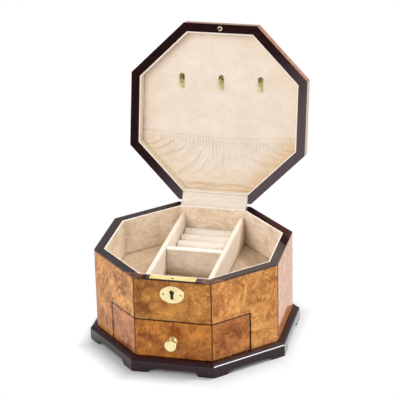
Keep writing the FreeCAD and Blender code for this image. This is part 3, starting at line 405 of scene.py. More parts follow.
def burl_figure(tree, place, sheet, tone, flame, eyes, out, clouds, curls):
    """The colour of one sheet, its figure from dark to light, and its pores."""
    bend = waves(tree, sheet, 30.0, 4.0, 0.6, output="Color")
    bend = vectors(tree, "SUBTRACT", bend, (0.5, 0.5, 0.5))
    swirl = vectors(tree, "ADD", sheet, vectors(tree, "SCALE", bend, SWIRL))
    lean = waves(tree, sheet, 26.0, 1.0, output="Color")
    lean = vectors(tree, "ADD", sheet, vectors(tree, "SCALE", lean, LEAN))
    curl = waves(tree, swirl, 140.0, 5.0, 0.62)
    cloudy = tint(tree, 0.50, waves(tree, swirl, 46.0, 5.0, 0.6), curl)
    fleck = waves(tree, lean, 300.0, 3.0, 0.65, (1.0, 1.0, 0.20))
    figure = span(tree, tint(tree, flame, cloudy, fleck), *FIGURE)
    marks = 0.0
    if clouds or curls:
        marks = veneer_marks(tree, panel_spots(tree, place, out, bend), clouds, curls)
        figure = maths(tree, "ADD", figure, marks)
    colour = ramp(tree, figure, [(position, shaded(tone, share)) for position, share in STOPS])

    knot = add(tree, "TexVoronoi", {"Vector": swirl, "Scale": 180.0}).outputs["Distance"]
    cluster = span(tree, waves(tree, sheet, 36.0, 2.0, 0.6), 0.48, 0.62)
    cluster = span(tree, maths(tree, "SUBTRACT", cluster, marks), 0.0, 1.0)
    knot = maths(tree, "MULTIPLY", span(tree, knot, 0.06, 0.36, 1.0, 0.0), cluster, eyes)
    colour = tint(tree, knot, colour, shaded(tone, 0.30))
    vein = maths(tree, "ABSOLUTE", maths(tree, "SUBTRACT", waves(tree, swirl, 64.0, 3.0), 0.5))
    vein = maths(tree, "MULTIPLY", span(tree, vein, 0.0, 0.022, VEIN, 0.0), span(tree, curl, 0.42, 0.58))
    colour = tint(tree, vein, colour, shaded(tone, 0.34))
    pore = span(tree, waves(tree, swirl, 1300.0, 2.0, 0.6, (1.0, 1.0, 0.12)), 0.32, 0.50, 0.80, 1.0)
    pores = add(tree, "CombineColor", {0: pore, 1: pore, 2: pore}).outputs[0]
    return tint(tree, 1.0, colour, pores, "MULTIPLY"), figure, pore


print("figure bent by up to", SWIRL * MM / 2, "mm")

# %% [markdown]
# Only the outside is veneer: where a panel's surface turns away from that, its edge is plain
# dark wood. A dark line is painted along each arris: partly the dark joint between panels,
# partly painted shade that deepens the gaps round the drawer. The lacquer is a clear coat,
# which alone makes the pale reflections at a low angle. Its index is low, because the real one
# is seen under soft light and looks duller than glass.

# %% Burl veneer
LACQUER_EDGE = 0.0022
EDGE_LINE = 0.95
ARRIS = (0.92, 0.990)
TURNED_AWAY = (0.75, 0.85)
COAT_INDEX = 1.26


def burl(name, tone, shift, turn, flame, eyes, out, clouds, curls):
    """One sheet of veneer. Flame and eyes say how strongly each shows; out is its outside."""
    material, tree, shader, place = finish_named(name)
    sheet = add(tree, "Mapping", {
        "Vector": place, "Location": shift, "Rotation": (turn, turn, turn)}).outputs[0]
    colour, figure, pore = burl_figure(tree, place, sheet, tone, flame, eyes, out, clouds, curls)
    eased_edge = add(tree, "Bevel", {"Radius": LACQUER_EDGE}, samples=6).outputs[0]
    true_normal = add(tree, "NewGeometry").outputs["True Normal"]
    rounding = vectors(tree, "DOT_PRODUCT", eased_edge, true_normal)
    # A dark line is painted along each arris: partly a dark joint, partly painted shade of the drawer gaps.
    colour = tint(tree, span(tree, rounding, *ARRIS, EDGE_LINE, 0.0), colour, EDGE_WOOD_AND_GAP_SHADE)
    if out:
        facing = vectors(tree, "DOT_PRODUCT", true_normal, out)
        colour = tint(tree, span(tree, facing, *TURNED_AWAY, 1.0, 0.0), colour, EDGE_WOOD_AND_GAP_SHADE)
    fill(tree, shader, {
        "Base Color": colour, "Roughness": span(tree, figure, 0.0, 1.0, 0.46, 0.34),
        "Specular IOR Level": 0.05, "Coat Weight": 1.0, "Coat Roughness": 0.045,
        "Coat IOR": COAT_INDEX,
        "Coat Normal": bumped(tree, waves(tree, place, 140.0, 1.0, 0.6), 0.03, 0.0006, eased_edge),
        "Normal": bumped(tree, pore, 0.10, 0.0002, eased_edge)})
    return material


print("veneer lacquered with a coat of index", COAT_INDEX)

# %% [markdown]
# Each sheet has its side of the box, its tone, its own shift and turn, as if cut from another
# log, and how strongly its flame and its eyes show. On the sheets that the photograph shows,
# the large clouds and curls are set down by their place on the panel as well. The noise does
# the rest, and the sheets that the photograph doesn't show have only the noise.

# %% Choose the sheets
OUTSIDE = {
    "front": (0.0, -1.0, 0.0), "front_right": (SLANT, -SLANT, 0.0), "right": (1.0, 0.0, 0.0),
    "back_right": (SLANT, SLANT, 0.0), "back": (0.0, 1.0, 0.0), "back_left": (-SLANT, SLANT, 0.0),
    "left": (-1.0, 0.0, 0.0), "front_left": (-SLANT, -SLANT, 0.0),
}
SHEETS = {
    "wall_front": ("front", AMBER, (0.31, 0.02, 0.40), 0.3, 0.22, 0.75),
    "wall_front_left": ("front_left", STRAW, (0.75, 0.44, 0.12), 0.0, 0.64, 0.45),
    "wall_front_right": ("front_right", HONEY, (0.12, 0.83, 0.66), 0.0, 0.30, 0.45),
    "wall_left": ("left", HONEY, (0.55, 0.21, 0.93), 0.5, 0.45, 0.30),
    "wall_right": ("right", COPPER, (0.28, 0.67, 0.35), 0.0, 0.40, 0.25),
    "wall_back": ("back", AMBER, (0.91, 0.38, 0.57), 0.4, 0.25, 0.50),
    "wall_back_left": ("back_left", HONEY, (0.47, 0.95, 0.18), 0.2, 0.45, 0.30),
    "wall_back_right": ("back_right", HONEY, (0.63, 0.17, 0.81), 0.2, 0.45, 0.30),
    "drawer_front_centre": ("front", TAWNY, (0.19, 0.52, 0.73), 0.6, 0.18, 0.75),
    "drawer_front_left": ("front_left", ROSE, (0.84, 0.73, 0.29), 0.0, 0.40, 0.75),
    "drawer_front_right": ("front_right", RUSSET, (0.39, 0.11, 0.52), 0.0, 0.25, 0.95),
    "lid_top": (None, AMBER, (0.07, 0.29, 0.88), 0.8, 0.25, 0.55),
    "lid_sides": (None, ROSE, (0.58, 0.91, 0.03), 0.0, 0.40, 0.30),
}
print(len(SHEETS), "sheets chosen")

# %% [markdown]
# Dark clouds have a negative weight and pale ones a positive weight. A narrow tall cloud is a
# pale streak, and a low wide one is a band. Three sheets also have a curl of growth lines.

# %% Mark the sheets
CLOUDS = {
    "wall_front": (
        (-43, 110, 7, 9, -0.40), (-38, 92, 9, 9, -0.60), (-28, 84, 9, 5, -0.42), (-46, 80, 6, 6, -0.35),
        (38, 78, 8, 4, -0.15), (46, 112, 5, 10, -0.15), (-32, 101, 6, 5, 0.30), (-20, 92, 6, 6, 0.25),
        (27, 104, 2, 14, 0.35), (33, 98, 2, 12, 0.22), (18, 100, 2, 10, 0.18), (10, 85, 14, 5, 0.20),
        (0, 78, 44, 3, 0.20)),
    "wall_front_left": (
        (25, 112, 14, 8, -0.35), (5, 113, 7, 11, -0.28), (22, 98, 15, 5, -0.28), (-15, 72, 9, 14, -0.32),
        (-30, 76, 8, 10, -0.18), (-26, 38, 22, 8, -0.30), (12, 84, 18, 6, 0.35), (36, 88, 10, 8, 0.25),
        (-6, 100, 6, 8, 0.28), (-36, 114, 10, 8, 0.25), (-36, 56, 8, 10, 0.20), (42, 116, 6, 8, 0.20)),
    "wall_front_right": (
        (0, 108, 2, 13, 0.50), (4, 100, 2, 8, 0.30), (-10, 83, 14, 3, 0.28), (25, 70, 16, 4, 0.20),
        (30, 45, 14, 6, 0.15), (20, 86, 14, 3, -0.28), (41, 112, 6, 8, -0.32), (30, 108, 6, 6, -0.20),
        (12, 100, 8, 8, -0.14), (-43, 85, 4, 14, -0.18), (28, 30, 18, 4, -0.15)),
    "drawer_front_centre": (
        (-40, 46, 8, 5, -0.40), (-22, 40, 10, 8, -0.32), (-8, 30, 8, 6, -0.28), (6, 58, 10, 8, -0.42),
        (-45, 30, 6, 6, -0.20), (20, 26, 14, 4, -0.24), (40, 30, 8, 6, -0.20), (-33, 60, 7, 6, 0.35),
        (-28, 52, 8, 3, 0.28), (-30, 33, 2, 3, 0.45), (26, 54, 16, 12, 0.18)),
    "drawer_front_left": (
        (20, 22, 30, 6, -0.28), (-3, 40, 5, 12, -0.18), (25, 60, 12, 6, 0.20), (40, 32, 5, 14, 0.15)),
    "drawer_front_right": (
        (-40, 40, 10, 12, -0.32), (-25, 35, 12, 8, -0.30), (-15, 50, 10, 6, -0.20), (-35, 58, 6, 5, -0.20),
        (-45, 25, 6, 6, -0.20), (0, 35, 8, 8, 0.25), (-5, 55, 8, 8, 0.18), (-30, 66, 12, 3, 0.15)),
}
CURLS = {
    "wall_front_right": ((-19, 105, 26, 9.0, 0.07),),
    "wall_front_left": ((20, 80, 24, 7.0, 0.10),),
    "drawer_front_centre": ((-34, 55, 16, 5.5, 0.20),),
}
burl_sheets = {}
for name, (side, tone, shift, turn, flame, eyes) in SHEETS.items():
    burl_sheets[name] = burl("burl_" + name, tone, shift, turn, flame, eyes, OUTSIDE.get(side),
                             CLOUDS.get(name, ()), CURLS.get(name, ()))
print(len(burl_sheets), "sheets of burl with", sum(map(len, CLOUDS.values())), "clouds")

# %% [markdown]
# The plinth and the rims are painted nearly black, with a little aubergine in it, and
# polished, the plinth a little less than the rims. Almost all that the eye sees there is
# reflection, so the colour is very dark, the coat is sharp, and a faint brown grain and fine
# rubbing marks break it up. At the two front corners of the case's rim, a brown reflection is
# painted into the colour. The coat is thickest over the nose of one front moulding,
# where the light runs along it as a white line.

# %% Dark lacquer
AUBERGINE = ((0.012, 0.0030, 0.0045), (0.028, 0.0070, 0.0105))
UMBER = ((0.010, 0.0030, 0.0030), (0.024, 0.0068, 0.0062))
PAINTED_REFLECTION_BROWN = (0.200, 0.070, 0.022)
REFLECTION_ASIDE = (0.036, 0.040)
REFLECTION_FRONT = (-0.108, -0.106)
REFLECTION_HEIGHT = (0.124, 0.126)
NOSE_HEIGHT = (0.0140, 0.0146)


def dark_lacquer_finish(name, deep, light, coat_index, nose_index=0.0):
    """Black-brown paint under a polished coat, thicker over the plinth's nose where asked."""
    material, tree, shader, place = finish_named(name)
    grain = waves(tree, place, 90.0, 5.0, stretch=(1.0, 1.0, 6.0))
    spot = parts(tree, place)
    # A brown reflection is painted at the rim's two front corners.
    painted_reflection = maths(
        tree, "MULTIPLY", span(tree, maths(tree, "ABSOLUTE", spot["X"]), *REFLECTION_ASIDE),
        span(tree, spot["Y"], *REFLECTION_FRONT, 1.0, 0.0), span(tree, spot["Z"], *REFLECTION_HEIGHT),
        span(tree, grain, 0.35, 0.55))
    colour = tint(tree, painted_reflection, ramp(tree, grain, ((0.30, deep), (0.75, light))), PAINTED_REFLECTION_BROWN)
    rubbed = waves(tree, place, 260.0, 3.0)
    eased_edge = add(tree, "Bevel", {"Radius": 0.0006}, samples=4).outputs[0]
    ripple = bumped(tree, rubbed, 0.02, 0.0005, eased_edge)
    fill(tree, shader, {
        "Base Color": colour, "Roughness": span(tree, rubbed, 0.3, 0.7, 0.10, 0.20),
        "Specular IOR Level": 0.1, "Coat Weight": 1.0, "Coat Roughness": 0.05,
        "Coat IOR": coat_index, "Normal": ripple, "Coat Normal": ripple})
    if nose_index:
        fill(tree, shader, {"Coat IOR": span(tree, spot["Z"], *NOSE_HEIGHT, coat_index, nose_index)})
    return material


plinth_lacquer = dark_lacquer_finish("plinth_lacquer", *AUBERGINE, 1.34)
nose_lacquer = dark_lacquer_finish("nose_lacquer", *AUBERGINE, 1.34, 1.90)
case_rim_lacquer = dark_lacquer_finish("case_rim_lacquer", *AUBERGINE, 1.36)
lid_rim_lacquer = dark_lacquer_finish("lid_rim_lacquer", *UMBER, 1.52)
print("made", plinth_lacquer.name, nose_lacquer.name, case_rim_lacquer.name, lid_rim_lacquer.name)

# %% [markdown]
# The drawer's sides, the shelf and the base are plain pale wood that shows only when the
# drawer is out. Straight grain is one noise drawn out along the board.

# %% Inner wood
INNER_DARK = (0.42, 0.25, 0.125)
INNER_PALE = (0.61, 0.42, 0.24)

inner_wood, tree, shader, place = finish_named("inner_wood_planed")
ring = waves(tree, place, 22.0, 6.0, stretch=(8.0, 1.0, 8.0), twist=0.4)
fill(tree, shader, {
    "Base Color": ramp(tree, ring, ((0.30, INNER_DARK), (0.70, INNER_PALE))),
    "Roughness": span(tree, ring, 0.3, 0.7, 0.62, 0.48),
    "Normal": bumped(tree, ring, 0.12, 0.0003)})
print("made", inner_wood.name)

# %% [markdown]
# Suede is the brushed flesh side of leather, or a flocked cloth that looks like it. It has
# no shine, a soft edge glow, and cloudy patches where the nap lies one way or the other. So
# the colour wanders between two creams, the sheen is set, and a broad and a fine noise raise
# the nap.
# The tray's walls are painted a little deeper and its floor deeper still, as painted shade, and
# the short divider and the ring rolls deeper too. The lid's edge lining is painted paler, as
# painted light, and the rolled edges nearly white, as a painted highlight.

# %% Cream suede
SUEDE_PALE, SUEDE_DEEP = (0.850, 0.757, 0.660), (0.725, 0.605, 0.475)
SHADED_TRAY_PALE, SHADED_TRAY_DEEP = (0.880, 0.740, 0.590), (0.650, 0.490, 0.335)
SHADED_BED_PALE, SHADED_BED_DEEP = (0.640, 0.500, 0.355), (0.430, 0.310, 0.195)
SHADED_CROSS_PALE, SHADED_CROSS_DEEP = (0.750, 0.650, 0.540), (0.540, 0.430, 0.320)
SHADED_ROLL_PALE, SHADED_ROLL_DEEP = (0.790, 0.710, 0.630), (0.640, 0.545, 0.445)
LIT_EDGE_PALE, LIT_EDGE_DEEP = (0.930, 0.800, 0.640), (0.810, 0.655, 0.480)
HIGHLIGHT_PALE = (0.930, 0.880, 0.800)
NAP_GLOW = (1.0, 0.94, 0.84, 1.0)
NAP_MIDDLE = 0.495
BRUSH_DRIFT = 0.035


def suede_finish(name, pale, deep, clouding=0.105):
    """Brushed cream nap with cloudy patches. Less clouding is a stronger change of colour."""
    material, tree, shader, place = finish_named(name)
    patch = waves(tree, place, 34.0, 6.0, 0.62, twist=0.6)
    fleck = waves(tree, place, 420.0, 3.0, 0.7)
    drift = waves(tree, place, 28.0, 2.0, output="Color")
    brushed_way = vectors(tree, "ADD", place, vectors(tree, "SCALE", drift, BRUSH_DRIFT))
    stroke = waves(tree, brushed_way, 70.0, 4.0, 0.6, (1.0, 1.0, 3.5))
    nap = tint(tree, 0.30, tint(tree, 0.40, patch, stroke), fleck)
    brushed = bumped(tree, patch, 0.25, 0.0008)
    fill(tree, shader, {
        "Base Color": ramp(tree, nap, ((NAP_MIDDLE - clouding, deep), (NAP_MIDDLE + clouding, pale))),
        "Roughness": span(tree, nap, 0.3, 0.7, 0.95, 0.82), "Specular IOR Level": 0.15,
        "Sheen Weight": 0.25, "Sheen Roughness": 0.45, "Sheen Tint": NAP_GLOW,
        "Normal": bumped(tree, waves(tree, place, 1900.0, 2.0), 0.30, 0.00025, brushed)})
    return material


suede = suede_finish("cream_suede", SUEDE_PALE, SUEDE_DEEP, 0.16)
tray_suede = suede_finish("tray_suede", SHADED_TRAY_PALE, SHADED_TRAY_DEEP, 0.075)
edge_suede = suede_finish("edge_suede", LIT_EDGE_PALE, LIT_EDGE_DEEP, 0.12)
bed_suede = suede_finish("bed_suede", SHADED_BED_PALE, SHADED_BED_DEEP)
cross_suede = suede_finish("cross_suede", SHADED_CROSS_PALE, SHADED_CROSS_DEEP)
roll_suede = suede_finish("roll_suede", SHADED_ROLL_PALE, SHADED_ROLL_DEEP, 0.13)
# A near-white suede for the rolled edges, as a painted highlight.
piping_suede = suede_finish("piping_suede", HIGHLIGHT_PALE, SUEDE_PALE)
print("made", suede.name, tray_suede.name, bed_suede.name, piping_suede.name)

# %% [markdown]
# The escutcheon, knob, lock plate, hooks and hinges are pale polished brass. A metal's
# colour is its reflection, so the base is a light yellow that changes little. The roughness
# changes more: polished, with fine scratches that run round it and a little dulling by
# fingers. The hooks are an older, darker brass, and the pins of the escutcheon have gone
# nearly brown.

# %% Polished brass
PALE_BRASS = ((0.86, 0.69, 0.34), (0.94, 0.82, 0.47), 0.0, 0.72)


def brass_finish(name, dull, bright, satin=0.0, metal=1.0):
    """Brass, polished by hand. Satin is rougher, and less metal is under a milky lacquer."""
    material, tree, shader, place = finish_named(name)
    dulled = waves(tree, place, 120.0, 4.0)
    scratch = waves(tree, place, 700.0, 2.0, stretch=(1.0, 1.0, 12.0))
    fill(tree, shader, {
        "Base Color": ramp(tree, dulled, ((0.35, dull), (0.65, bright))), "Metallic": metal,
        "Roughness": span(tree, dulled, 0.3, 0.7, 0.26 + satin, 0.13 + satin),
        "Normal": bumped(tree, scratch, 0.05, 0.0001)})
    return material


brass = brass_finish("pale_brass_polished", *PALE_BRASS)
hook_brass = brass_finish("hook_brass", (0.46, 0.37, 0.11), (0.72, 0.61, 0.24), 0.05, 0.6)
plate_brass = brass_finish("plate_brass", (0.90, 0.70, 0.22), (0.98, 0.88, 0.46), 0.15, 0.45)
tarnished = brass_finish("brass_tarnished", (0.16, 0.10, 0.05), (0.40, 0.29, 0.14))
print("made", brass.name, hook_brass.name, plate_brass.name, tarnished.name)

# %% [markdown]
# Each hook has painted shade at its top and on its sides, which turn to the left and the
# right, and a painted highlight at its lip. That follows the height on the open lid, nearly
# the same for all three.

# %% Hooks
HOOK_TOP_SHADE = (0.035, 0.027, 0.010)
HOOK_SIDE_SHADE = (0.20, 0.155, 0.045)
HOOK_LIP_HIGHLIGHT = (0.95, 0.86, 0.52)
LIP_HEIGHT = (0.15, 0.55)
TOP_HEIGHT = (0.40, 0.70)
SIDE_TURN = (0.35, 0.75)
SIDE_WEIGHT = 0.85
hook_low, hook_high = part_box("necklace_hook_middle")
tree = hook_brass.node_tree
place = spots(tree)
height = span(tree, parts(tree, place)["Z"], hook_low.z, hook_high.z)
sideways = parts(tree, add(tree, "NewGeometry").outputs["Normal"])["X"]
blot = span(tree, waves(tree, place, 420.0, 2.0, 0.6), 0.46, 0.54, 0.25, 1.0)
# A painted highlight at the lip, and painted shade on the sides and at the top.
lay_over(hook_brass, span(tree, height, *LIP_HEIGHT, 1.0, 0.0), HOOK_LIP_HIGHLIGHT)
turned = span(tree, maths(tree, "ABSOLUTE", sideways), *SIDE_TURN, 0.0, SIDE_WEIGHT)
lay_over(hook_brass, turned, HOOK_SIDE_SHADE)
lay_over(hook_brass, maths(tree, "MULTIPLY", span(tree, height, *TOP_HEIGHT), blot), HOOK_TOP_SHADE)
print("hooks from", round(hook_low.z, 4), "to", round(hook_high.z, 4), "m")

# %% [markdown]
# The walls of the keyhole are painted black as painted shade, so the hole looks as dark as it is deep.

# %% Keyhole
KEYHOLE_REACH = 0.008
KEYHOLE_PAINTED_SHADE = (0.012, 0.008, 0.005)
escutcheon_low, escutcheon_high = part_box("escutcheon")
escutcheon_brass = brass_finish("escutcheon_brass", *PALE_BRASS)
tree = escutcheon_brass.node_tree
away = vectors(tree, "DISTANCE", spots(tree), (escutcheon_low + escutcheon_high) / 2)
inside = span(tree, away, KEYHOLE_REACH * 0.95, KEYHOLE_REACH, 1.0, 0.0)
facing = vectors(tree, "DOT_PRODUCT", add(tree, "NewGeometry").outputs["True Normal"], OUTSIDE["front"])
wall = span(tree, facing, 0.2, 0.5, 1.0, 0.0)
# Painted shade on the keyhole's walls.
lay_over(escutcheon_brass, maths(tree, "MULTIPLY", inside, wall), KEYHOLE_PAINTED_SHADE)
print("made", escutcheon_brass.name)

# %% [markdown]
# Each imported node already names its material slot. The finishes replace those plain slot
# colours one for one, each veneered panel takes its own sheet, and a few pieces of brass and
# dark wood have a finish of their own.

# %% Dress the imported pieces
SLOT_FINISH = {
    "dark_lacquer": plinth_lacquer,
    "inner_wood": inner_wood,
    "suede": suede,
    "brass": brass,
}
PIECE_FINISH = {
    "body_rim": case_rim_lacquer, "lid_rim": lid_rim_lacquer, "escutcheon_pins": tarnished,
    "lock_plate": plate_brass, "escutcheon": escutcheon_brass, "plinth_front_right": nose_lacquer,
    "necklace_hook_left": hook_brass, "necklace_hook_middle": hook_brass, "necklace_hook_right": hook_brass,
    "hook_nails": hook_brass,
}
dressed = 0
for name, node in nodes.items():
    for index, material in enumerate(node.data.materials):
        slot_name = material.name.split(".")[0]
        finish = burl_sheets.get(name) if slot_name == "burl_veneer" else SLOT_FINISH[slot_name]
        node.data.materials[index] = PIECE_FINISH.get(name, finish)
        dressed += 1
print(dressed, "material slots dressed")

# %% [markdown]
# The soft pieces are built as skins over rings of points. A ring is one outline, and a row
# of rings is sewn into a closed form, as a tailor sews strips into a sleeve.

# %% Skin over rings
def skin(rings, joined=False, sheet=False):
    """Points and faces over a row of equal rings. The two ends are closed unless it joins up.
    A sheet's rings run along its face and return along its back, so its ends are strips."""
    count = len(rings[0])
    points = [point for ring in rings for point in ring]
    faces = []
    for index in range(len(rings) if joined else len(rings) - 1):
        here = index * count
        there = (index + 1) % len(rings) * count
        for step in range(count):
            after = (step + 1) % count
            faces.append((here + step, here + after, there + after, there + step))
    for first in () if joined else (0, len(points) - count):
        if sheet:
            for step in range(count // 2 - 1):
                last = first + count - 1 - step
                faces.append((first + step, first + step + 1, last - 1, last))
        else:
            faces.append(tuple(range(first, first + count)))
    return points, faces


print("helper for skins")

# %% [markdown]
# Closed skins become one smooth object here, in its suede. Along a rolled edge, some strips
# can take a paler suede, as a painted highlight.

# %% Suede piece
def suede_piece(name, shells, finish=suede, count=0, highlight_strips=()):
    """One smooth object from closed shells. Of each ring's count of strips, some take the painted
    highlight.
    """
    form = bmesh.new()
    for points, faces in shells:
        corners = [form.verts.new(point) for point in points]
        for face in faces:
            form.faces.new([corners[index] for index in face])
    bmesh.ops.recalc_face_normals(form, faces=form.faces)
    for face in form.faces:
        face.smooth = True
    mesh = bpy.data.meshes.new(name)
    form.to_mesh(mesh)
    form.free()
    mesh.materials.append(finish)
    if highlight_strips:
        mesh.materials.append(piping_suede)
        for face in mesh.polygons:
            face.material_index = int(len(face.vertices) == 4 and face.index % count in highlight_strips)
    piece = bpy.data.objects.new(name, mesh)
    scene.collection.objects.link(piece)
    print(name, len(mesh.polygons), "faces")
    return piece


print("helper for suede pieces, in", suede.name, "unless another is named")

# %% [markdown]
# Cloth over card is never quite even, and its edges are never sharp. Two small helpers give a
# soft random height and a smooth step.

# %% Unevenness
def uneven(x, y, z, size):
    """A soft random height from -1 to 1 whose bumps are about that size across."""
    return noise.noise(Vector((x, y, z)) / size)


def eased(value, low, high):
    """0 below low, 1 above high, and smooth between."""
    share = min(1.0, max(0.0, (value - low) / (high - low)))
    return share * share * (3 - 2 * share)


print("uneven by", round(uneven(0.1, 0.2, 0.3, 0.02), 3), "at one place")

# %% [markdown]
# The lid's pieces are easier to draw on a closed lid and then open up. A point on the lid is
# given by its distance along the lid from the hinge axis, and its height over the plane of
# the rim. The hinge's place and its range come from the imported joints.

# %% The open lid's frame
hinge = next(joint for joint in frame["joints"] if joint["name"] == "lid_hinge")
HINGE_Y, HINGE_Z = hinge["pos_m"][1:]
OPENING = math.radians(hinge["range_deg"][1])


def on_lid(x, along, height):
    """A point of the lid as it stands open at rest."""
    y = HINGE_Y - along * math.cos(OPENING) + height * math.sin(OPENING)
    z = HINGE_Z + along * math.sin(OPENING) + height * math.cos(OPENING)
    return (x, y, z)


def lid_box(name):
    """Lowest and highest (x, along, height) of a node of the lid."""
    flat = []
    for vertex in nodes[name].data.vertices:
        y = vertex.co.y - HINGE_Y
        z = vertex.co.z - HINGE_Z
        flat.append((vertex.co.x, z * math.sin(OPENING) - y * math.cos(OPENING),
                     y * math.sin(OPENING) + z * math.cos(OPENING)))
    return [min(part) for part in zip(*flat)], [max(part) for part in zip(*flat)]


print("lid opens", round(math.degrees(OPENING)), "degrees")

# %% [markdown]
# The stud that the bolt catches stands out of the lid's front edge. It shows as a bright ring
# round a dark centre, and that centre is painted shade: its brass is darkened by the distance from its own
# axis.

# %% Lock stud
SOCKET = 0.0019
SOCKET_PAINTED_SHADE = (0.02, 0.012, 0.008)
stud_low, stud_high = lid_box("lock_stud")
stud_middle = on_lid(0.0, (stud_low[1] + stud_high[1]) / 2, 0.0)
stud_brass = brass_finish("stud_brass", (0.90, 0.76, 0.42), (0.98, 0.90, 0.58), 0.15, 0.6)
tree = stud_brass.node_tree
away = vectors(tree, "SUBTRACT", spots(tree), stud_middle)
away = vectors(tree, "CROSS_PRODUCT", away, (0.0, math.sin(OPENING), math.cos(OPENING)))
socket = span(tree, vectors(tree, "LENGTH", away), SOCKET * 0.8, SOCKET, 1.0, 0.0)
# The dark centre is painted shade.
lay_over(stud_brass, socket, SOCKET_PAINTED_SHADE)
nodes["lock_stud"].data.materials[0] = stud_brass
print("stud", [round(part * 1000, 1) for part in stud_middle])

# %% [markdown]
# Suede-covered card lines the walls of the tray and of the lid. Each side is its own card,
# so the lining is a little fuller in the middle of a side than in the corners, and its free
# edge is rolled over. One section, carried round the eight sides, makes either ring.

# %% Lining ring
SIDES = 8
SIDE_SLOPE = math.tan(math.pi / SIDES)
LINING_PUFF = 0.00022
LINING_STEPS = 14
LINING_LEVELS = 8
ROLL_STEPS = 7
ROLLED = (LINING_LEVELS + ROLL_STEPS + 2, range(LINING_LEVELS + 1, LINING_LEVELS + ROLL_STEPS + 1))


def lining_ring(inner, outer, root, edge, place):
    """A lined ring. Root and edge are the heights of its fixed end and its free end."""
    up = 1 if edge > root else -1
    thick = outer - inner
    rings = []
    for side in range(SIDES):
        turn = Matrix.Rotation(side * math.tau / SIDES, 3, "Z")
        for step in range(LINING_STEPS):
            share = -math.cos(math.pi * step / LINING_STEPS)
            full = LINING_PUFF * (1 - share ** 6)
            section = [(outer, root)]
            for level in range(LINING_LEVELS + 1):
                rise = level / LINING_LEVELS
                height = root + (edge - root - up * thick / 2) * rise
                section.append((inner - full * (1 - (2 * rise - 1) ** 6), height))
            for bend in range(1, ROLL_STEPS):
                angle = math.pi * bend / ROLL_STEPS
                section.append((outer - thick / 2 * (1 + math.cos(angle)),
                                edge - up * thick / 2 * (1 - math.sin(angle))))
            section.append((outer, edge - up * thick / 2))
            ring = []
            for radius, height in section:
                point = turn @ Vector((share * radius * SIDE_SLOPE, -radius, height))
                ring.append(place(*point))
            rings.append(ring)
    return skin(rings, joined=True)


print("lining of", LINING_STEPS, "rings a side, each of", ROLLED[0], "points")

# %% [markdown]
# The same ring lines the case as it stands, and the lid once it is opened up. Each takes its
# measures from the plain solid that it replaces.

# %% Line the case and the lid
def at_case(x, y, z):
    """A point of the case, as it is."""
    return (x, y, z)


def at_lid(x, y, height):
    """A point of the closed lid, given round its middle, opened up."""
    return on_lid(x, HINGE_Y - y, height)


pad_low, pad_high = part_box("floor_lining")
ring_low, ring_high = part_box("wall_lining")
# The tray's walls take the deeper suede, as painted shade, and their rolled edge the painted highlight.
wall_cards = suede_piece("suede_wall_cards", [
    lining_ring(pad_high.x, ring_high.x, ring_low.z, ring_high.z, at_case)], tray_suede, *ROLLED)
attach(wall_cards, "case")
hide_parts("wall_lining")

panel_low, panel_high = lid_box("lid_lining")
edge_low, edge_high = lid_box("lid_edge_lining")
# The lid's edge lining takes the paler suede, as painted light, and its rolled edge the painted highlight.
lid_edge_cards = suede_piece("suede_lid_edge_cards", [
    lining_ring(panel_high[0], edge_high[0], edge_high[2], edge_low[2], at_lid)], edge_suede, *ROLLED)
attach(lid_edge_cards, "lid")
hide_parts("lid_edge_lining")

# %% [markdown]
# The tray's floor, the lid's panel and the drawer's bottom are flat pads: card, a little
# wadding and suede turned under. Such a pad is a row of outlines that shrink towards the
# middle, with the height falling away at the edge. A little unevenness keeps it from looking
# like sheet metal.

# %% Flat pad
PAD_ROLL = 0.0011
PAD_BENDS = 5
PAD_BUMP = 0.035
PAD_UNEVEN = 0.00015
PANEL_UNEVEN = 0.00006
PAD_RINGS = (0.06, 0.2, 0.35, 0.5, 0.65, 0.78, 0.88, 0.94, 0.97)
SIDE_POINTS = 12


def divided(corners):
    """An outline with points along each of its sides."""
    outline = []
    for start, end in zip(corners, corners[1:] + corners[:1]):
        for step in range(SIDE_POINTS):
            outline.append(tuple(a + (b - a) * step / SIDE_POINTS for a, b in zip(start, end)))
    return outline


def flat_pad(corners, seat, face, place, wave):
    """A closed pad from its seat to its face, rolled at the edge. Wave is its unevenness."""
    outline = divided(corners)
    middle = [sum(part) / len(outline) for part in zip(*outline)]
    reach = min(math.dist(middle, point) for point in outline)
    up = 1 if face > seat else -1
    levels = [(share, face) for share in PAD_RINGS]
    for bend in range(PAD_BENDS + 1):
        angle = math.pi / 2 * bend / PAD_BENDS
        inset = PAD_ROLL / reach * (1 - math.sin(angle))
        levels.append((1 - inset, face - up * PAD_ROLL * (1 - math.cos(angle))))
    levels.append((1.0, seat))
    levels.append((0.5, seat))
    rings = []
    for share, height in levels:
        ring = []
        for x, y in outline:
            px = middle[0] + (x - middle[0]) * share
            py = middle[1] + (y - middle[1]) * share
            lift = wave * uneven(px, py, 0.3, PAD_BUMP) * (1 - share ** 8)
            ring.append(place(px, py, height if height == seat else height + lift))
        rings.append(ring)
    return skin(rings)


print("pad of", len(PAD_RINGS) + PAD_BENDS + 3, "outlines")

# %% [markdown]
# The tray's floor and the lid's panel are octagons. The drawer's bed has its two front corners
# cut off, because the drawer's wings slant.

# %% Lay the pads
def octagon(flat):
    """The corners of an eight-sided outline, given from its middle to a flat side."""
    side = flat * SIDE_SLOPE
    return [(side, -flat), (flat, -side), (flat, side), (side, flat),
            (-side, flat), (-flat, side), (-flat, -side), (-side, -flat)]


# The tray's floor takes the deepest suede, as painted shade.
tray_pad = suede_piece("suede_tray_floor", [
    flat_pad(octagon(pad_high.x), pad_low.z, pad_high.z, at_case, PAD_UNEVEN)], bed_suede)
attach(tray_pad, "case")
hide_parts("floor_lining")

